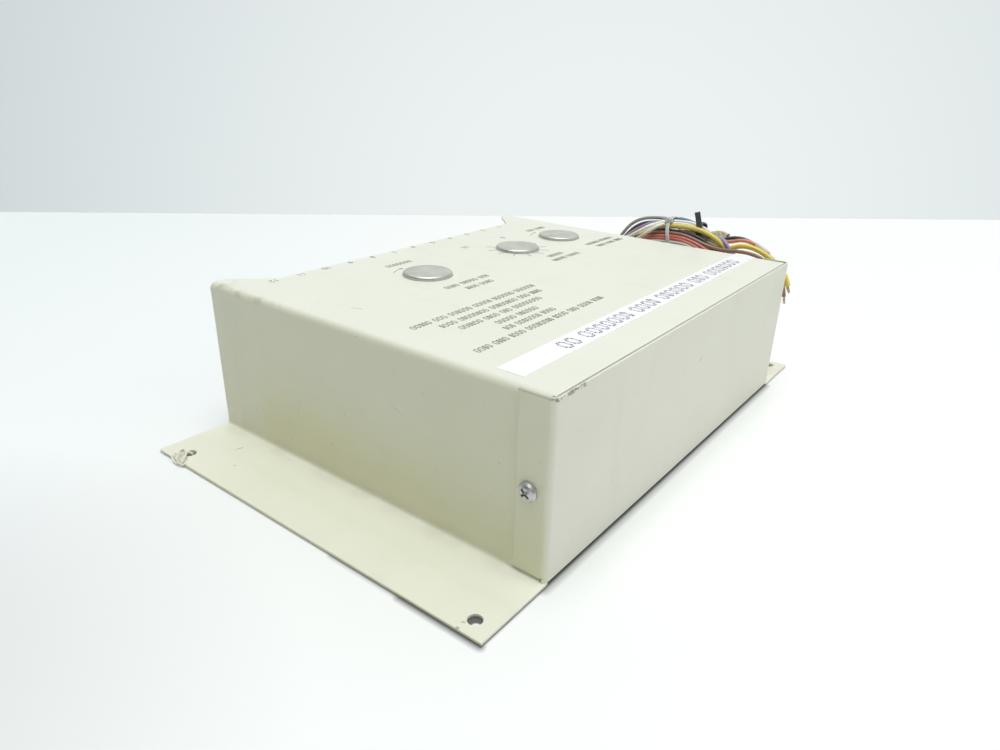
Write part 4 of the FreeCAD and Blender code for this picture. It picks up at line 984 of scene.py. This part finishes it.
for finish, patterns in FINISHES:
    for node, part in nodes.items():
        if any(fnmatch(node, pattern) for pattern in patterns):
            for slot in part.material_slots:
                slot.material = finish.material


# --- Print, dial and label marks ---

TOP = box_mm("hole_plug_1")[1].z - 1.9
PRINT_STROKE = 0.29
PRINT_CAP = 3.2
PRINT_RISE = 0.03
PRINT_PITCH = 2.6

# The printed rows and captions: where each begins and ends, and its Y.
ROWS = [(12.0, 110.3, 53.1), (41.2, 79.8, 45.9), (45, 77, 39.2), (32, 91.2, 32.1),
        (22, 100.3, 25.1), (17.5, 105.3, 17.7), (24.2, 47.5, -2.4), (18.7, 52.5, -9.9),
        (24.5, 42.8, -58.6), (-55.5, -23.8, -1.6), (-48.8, -32.2, -8.6), (-106.3, -73, -1.6),
        (-105.5, -73.8, -8.3), (-100.5, -78.8, -57.1)]

# Polylines of the plain digits on a grid one unit wide and one unit high.
DIGITS = {
    "0": [(0.2, 0), (0.8, 0), (1, 0.2), (1, 0.8), (0.8, 1), (0.2, 1), (0, 0.8), (0, 0.2), (0.2, 0)],
    "1": [(0.25, 0.8), (0.55, 1), (0.55, 0)],
    "2": [(0, 0.8), (0.2, 1), (0.8, 1), (1, 0.8), (1, 0.6), (0, 0), (1, 0)],
    "3": [(0, 0.85), (0.25, 1), (0.75, 1), (1, 0.8), (0.9, 0.58), (0.45, 0.52), (0.9, 0.46),
          (1, 0.2), (0.75, 0), (0.25, 0), (0, 0.15)],
    "4": [(0.75, 0), (0.75, 1), (0, 0.3), (1, 0.3)],
    "5": [(0.95, 1), (0.1, 1), (0.05, 0.55), (0.7, 0.6), (1, 0.4), (1, 0.15), (0.75, 0), (0.2, 0),
          (0, 0.12)],
    "6": [(0.85, 1), (0.3, 0.85), (0, 0.4), (0, 0.15), (0.25, 0), (0.75, 0), (1, 0.18), (1, 0.4),
          (0.75, 0.55), (0.1, 0.5)],
    "7": [(0, 1), (1, 1), (0.35, 0)],
    "8": [(0.25, 0.52), (0.05, 0.75), (0.25, 1), (0.75, 1), (0.95, 0.75), (0.75, 0.52),
          (0.25, 0.52), (0, 0.25), (0.25, 0), (0.75, 0), (1, 0.25), (0.75, 0.52)],
    "9": [(0.15, 0), (0.7, 0.15), (1, 0.6), (1, 0.85), (0.75, 1), (0.25, 1), (0, 0.82), (0, 0.6),
          (0.25, 0.45), (0.95, 0.5)],
}

# The outline of a placeholder character: u across its width, v from its middle up or down.
OUTLINE = ((0.3, -1), (0.7, -1), (1, -0.6), (1, 0.6), (0.7, 1), (0.3, 1), (0, 0.6), (0, -0.6),
           (0.3, -1))


class Pen:
    """Draws flat strokes on a level face, between two heights in millimetres."""

    def __init__(self, bm, width, low, high):
        self.bm, self.width, self.levels = bm, width, (low, high)

    def bar(self, start, end):
        """A stroke that is half its width longer than the run at each end."""
        first, last = Vector((*start[:2], 0)), Vector((*end[:2], 0))
        along = (last - first).normalized() * (self.width / 2)
        side = Vector((-along.y, along.x, 0))
        first, last = first - along, last + along
        corners = (first - side, last - side, last + side, first + side)
        loft(self.bm, [[mm(corner.x, corner.y, z) for corner in corners] for z in self.levels])

    def line(self, points):
        for start, end in zip(points, points[1:]):
            self.bar(start, end)

    def number(self, text, x, y):
        """A plain number, its middle at (x, y)."""
        wide, gap = PRINT_CAP * 0.52, PRINT_CAP * 0.28
        total = len(text) * wide + (len(text) - 1) * gap
        for k, digit in enumerate(text):
            left = x - total / 2 + k * (wide + gap)
            self.line([(left + u * wide, y + (v - 0.5) * PRINT_CAP) for u, v in DIGITS[digit]])

    def arc_arrow(self, centre, radius, start, stop):
        """An arc with a barbed head: which way a trimmer is turned."""
        turns = [math.radians(start + (stop - start) * i / 8) for i in range(9)]
        points = [(centre.x + radius * math.cos(a), centre.y + radius * math.sin(a))
                  for a in turns]
        self.line(points)
        tip = Vector(points[-1])
        back = (Vector(points[-2]) - tip).normalized()
        for turn in (28, -28):
            barb = back.copy()
            barb.rotate(Matrix.Rotation(math.radians(turn), 2))
            self.bar(tip, tip + barb * 1.9)


def placeholder_words(order, x_from, x_to, y, cap, pitch):
    """Rows of octagonal rings that stand for words, with nothing in them to read."""
    outlines = []
    x = x_from
    while x_to - x > 2 * pitch:
        for _ in range(min(order.randint(3, 8), int((x_to - x) / pitch))):
            wide = pitch * order.choice((0.56, 0.62, 0.62, 0.3))
            outlines.append([(x + u * wide, y + v * cap / 2) for u, v in OUTLINE])
            x += wide + pitch * 0.4
        x += pitch * 0.7
    return outlines


def make_print():
    """The grey silk-screen on the top: title rows, trimmer captions, dial and terminal numbers."""
    order = random.Random(21)
    left_plug, dial, right_plug = (sum(box_mm(plug), Vector()) / 2 for plug in PLUGS)

    def build(bm):
        pen = Pen(bm, PRINT_STROKE, TOP - 0.01, TOP + PRINT_RISE)
        for x_from, x_to, y in ROWS:
            for points in placeholder_words(order, x_from, x_to, y, PRINT_CAP, PRINT_PITCH):
                pen.line(points)
        for i in range(11):
            angle = math.radians(240 - 30 * i)
            way = Vector((math.cos(angle), math.sin(angle), 0))
            pen.bar(dial + way * 13.4, dial + way * 18.6)
        pen.number("0", dial.x - 17, dial.y - 24)
        pen.number("10", dial.x + 18.5, dial.y - 24.4)
        for plug in (left_plug, right_plug):
            pen.arc_arrow(plug, 17.7, -58, -89)
        low, high = box_mm("terminal_plates")
        pole = (high.x - low.x - 4.2) / 11
        for i in range(12):
            pen.number(str(i + 1), low.x + 2.1 + pole * i, -79.6 if i else -79.0)
    ink = two_tone("screen_ink", (0.085, 0.088, 0.083), (0.34, 0.35, 0.31), (800, 4),
                   (1400, 2, 0.01), edges=(0.5, 0.72), Roughness=0.55)
    add_built("top_print", build, ink, smooth=False)


def make_label_marks():
    """Hollow marks along the label tape: wide violet rings with narrower white ones on them."""
    low, high = box_mm("label_tape")
    words = placeholder_words(random.Random(5), -99.7, 83.7, (low.y + high.y) / 2, 6.2, 5.8)
    ink = two_tone("violet_ink", (0.155, 0.14, 0.42), (0.34, 0.33, 0.62), (500, 3),
                   (900, 2, 0.01), edges=(0.4, 0.7), Roughness=0.4)
    for name, width, rise, finish in (("label_marks", 1.0, 0.03, ink),
                                      ("label_mark_cores", 0.45, 0.045, label_tape())):
        def build(bm):
            pen = Pen(bm, width, high.z - 0.01, high.z + rise)
            for points in words:
                pen.line(points)
        add_built(name, build, finish, smooth=False)


make_print()
make_label_marks()
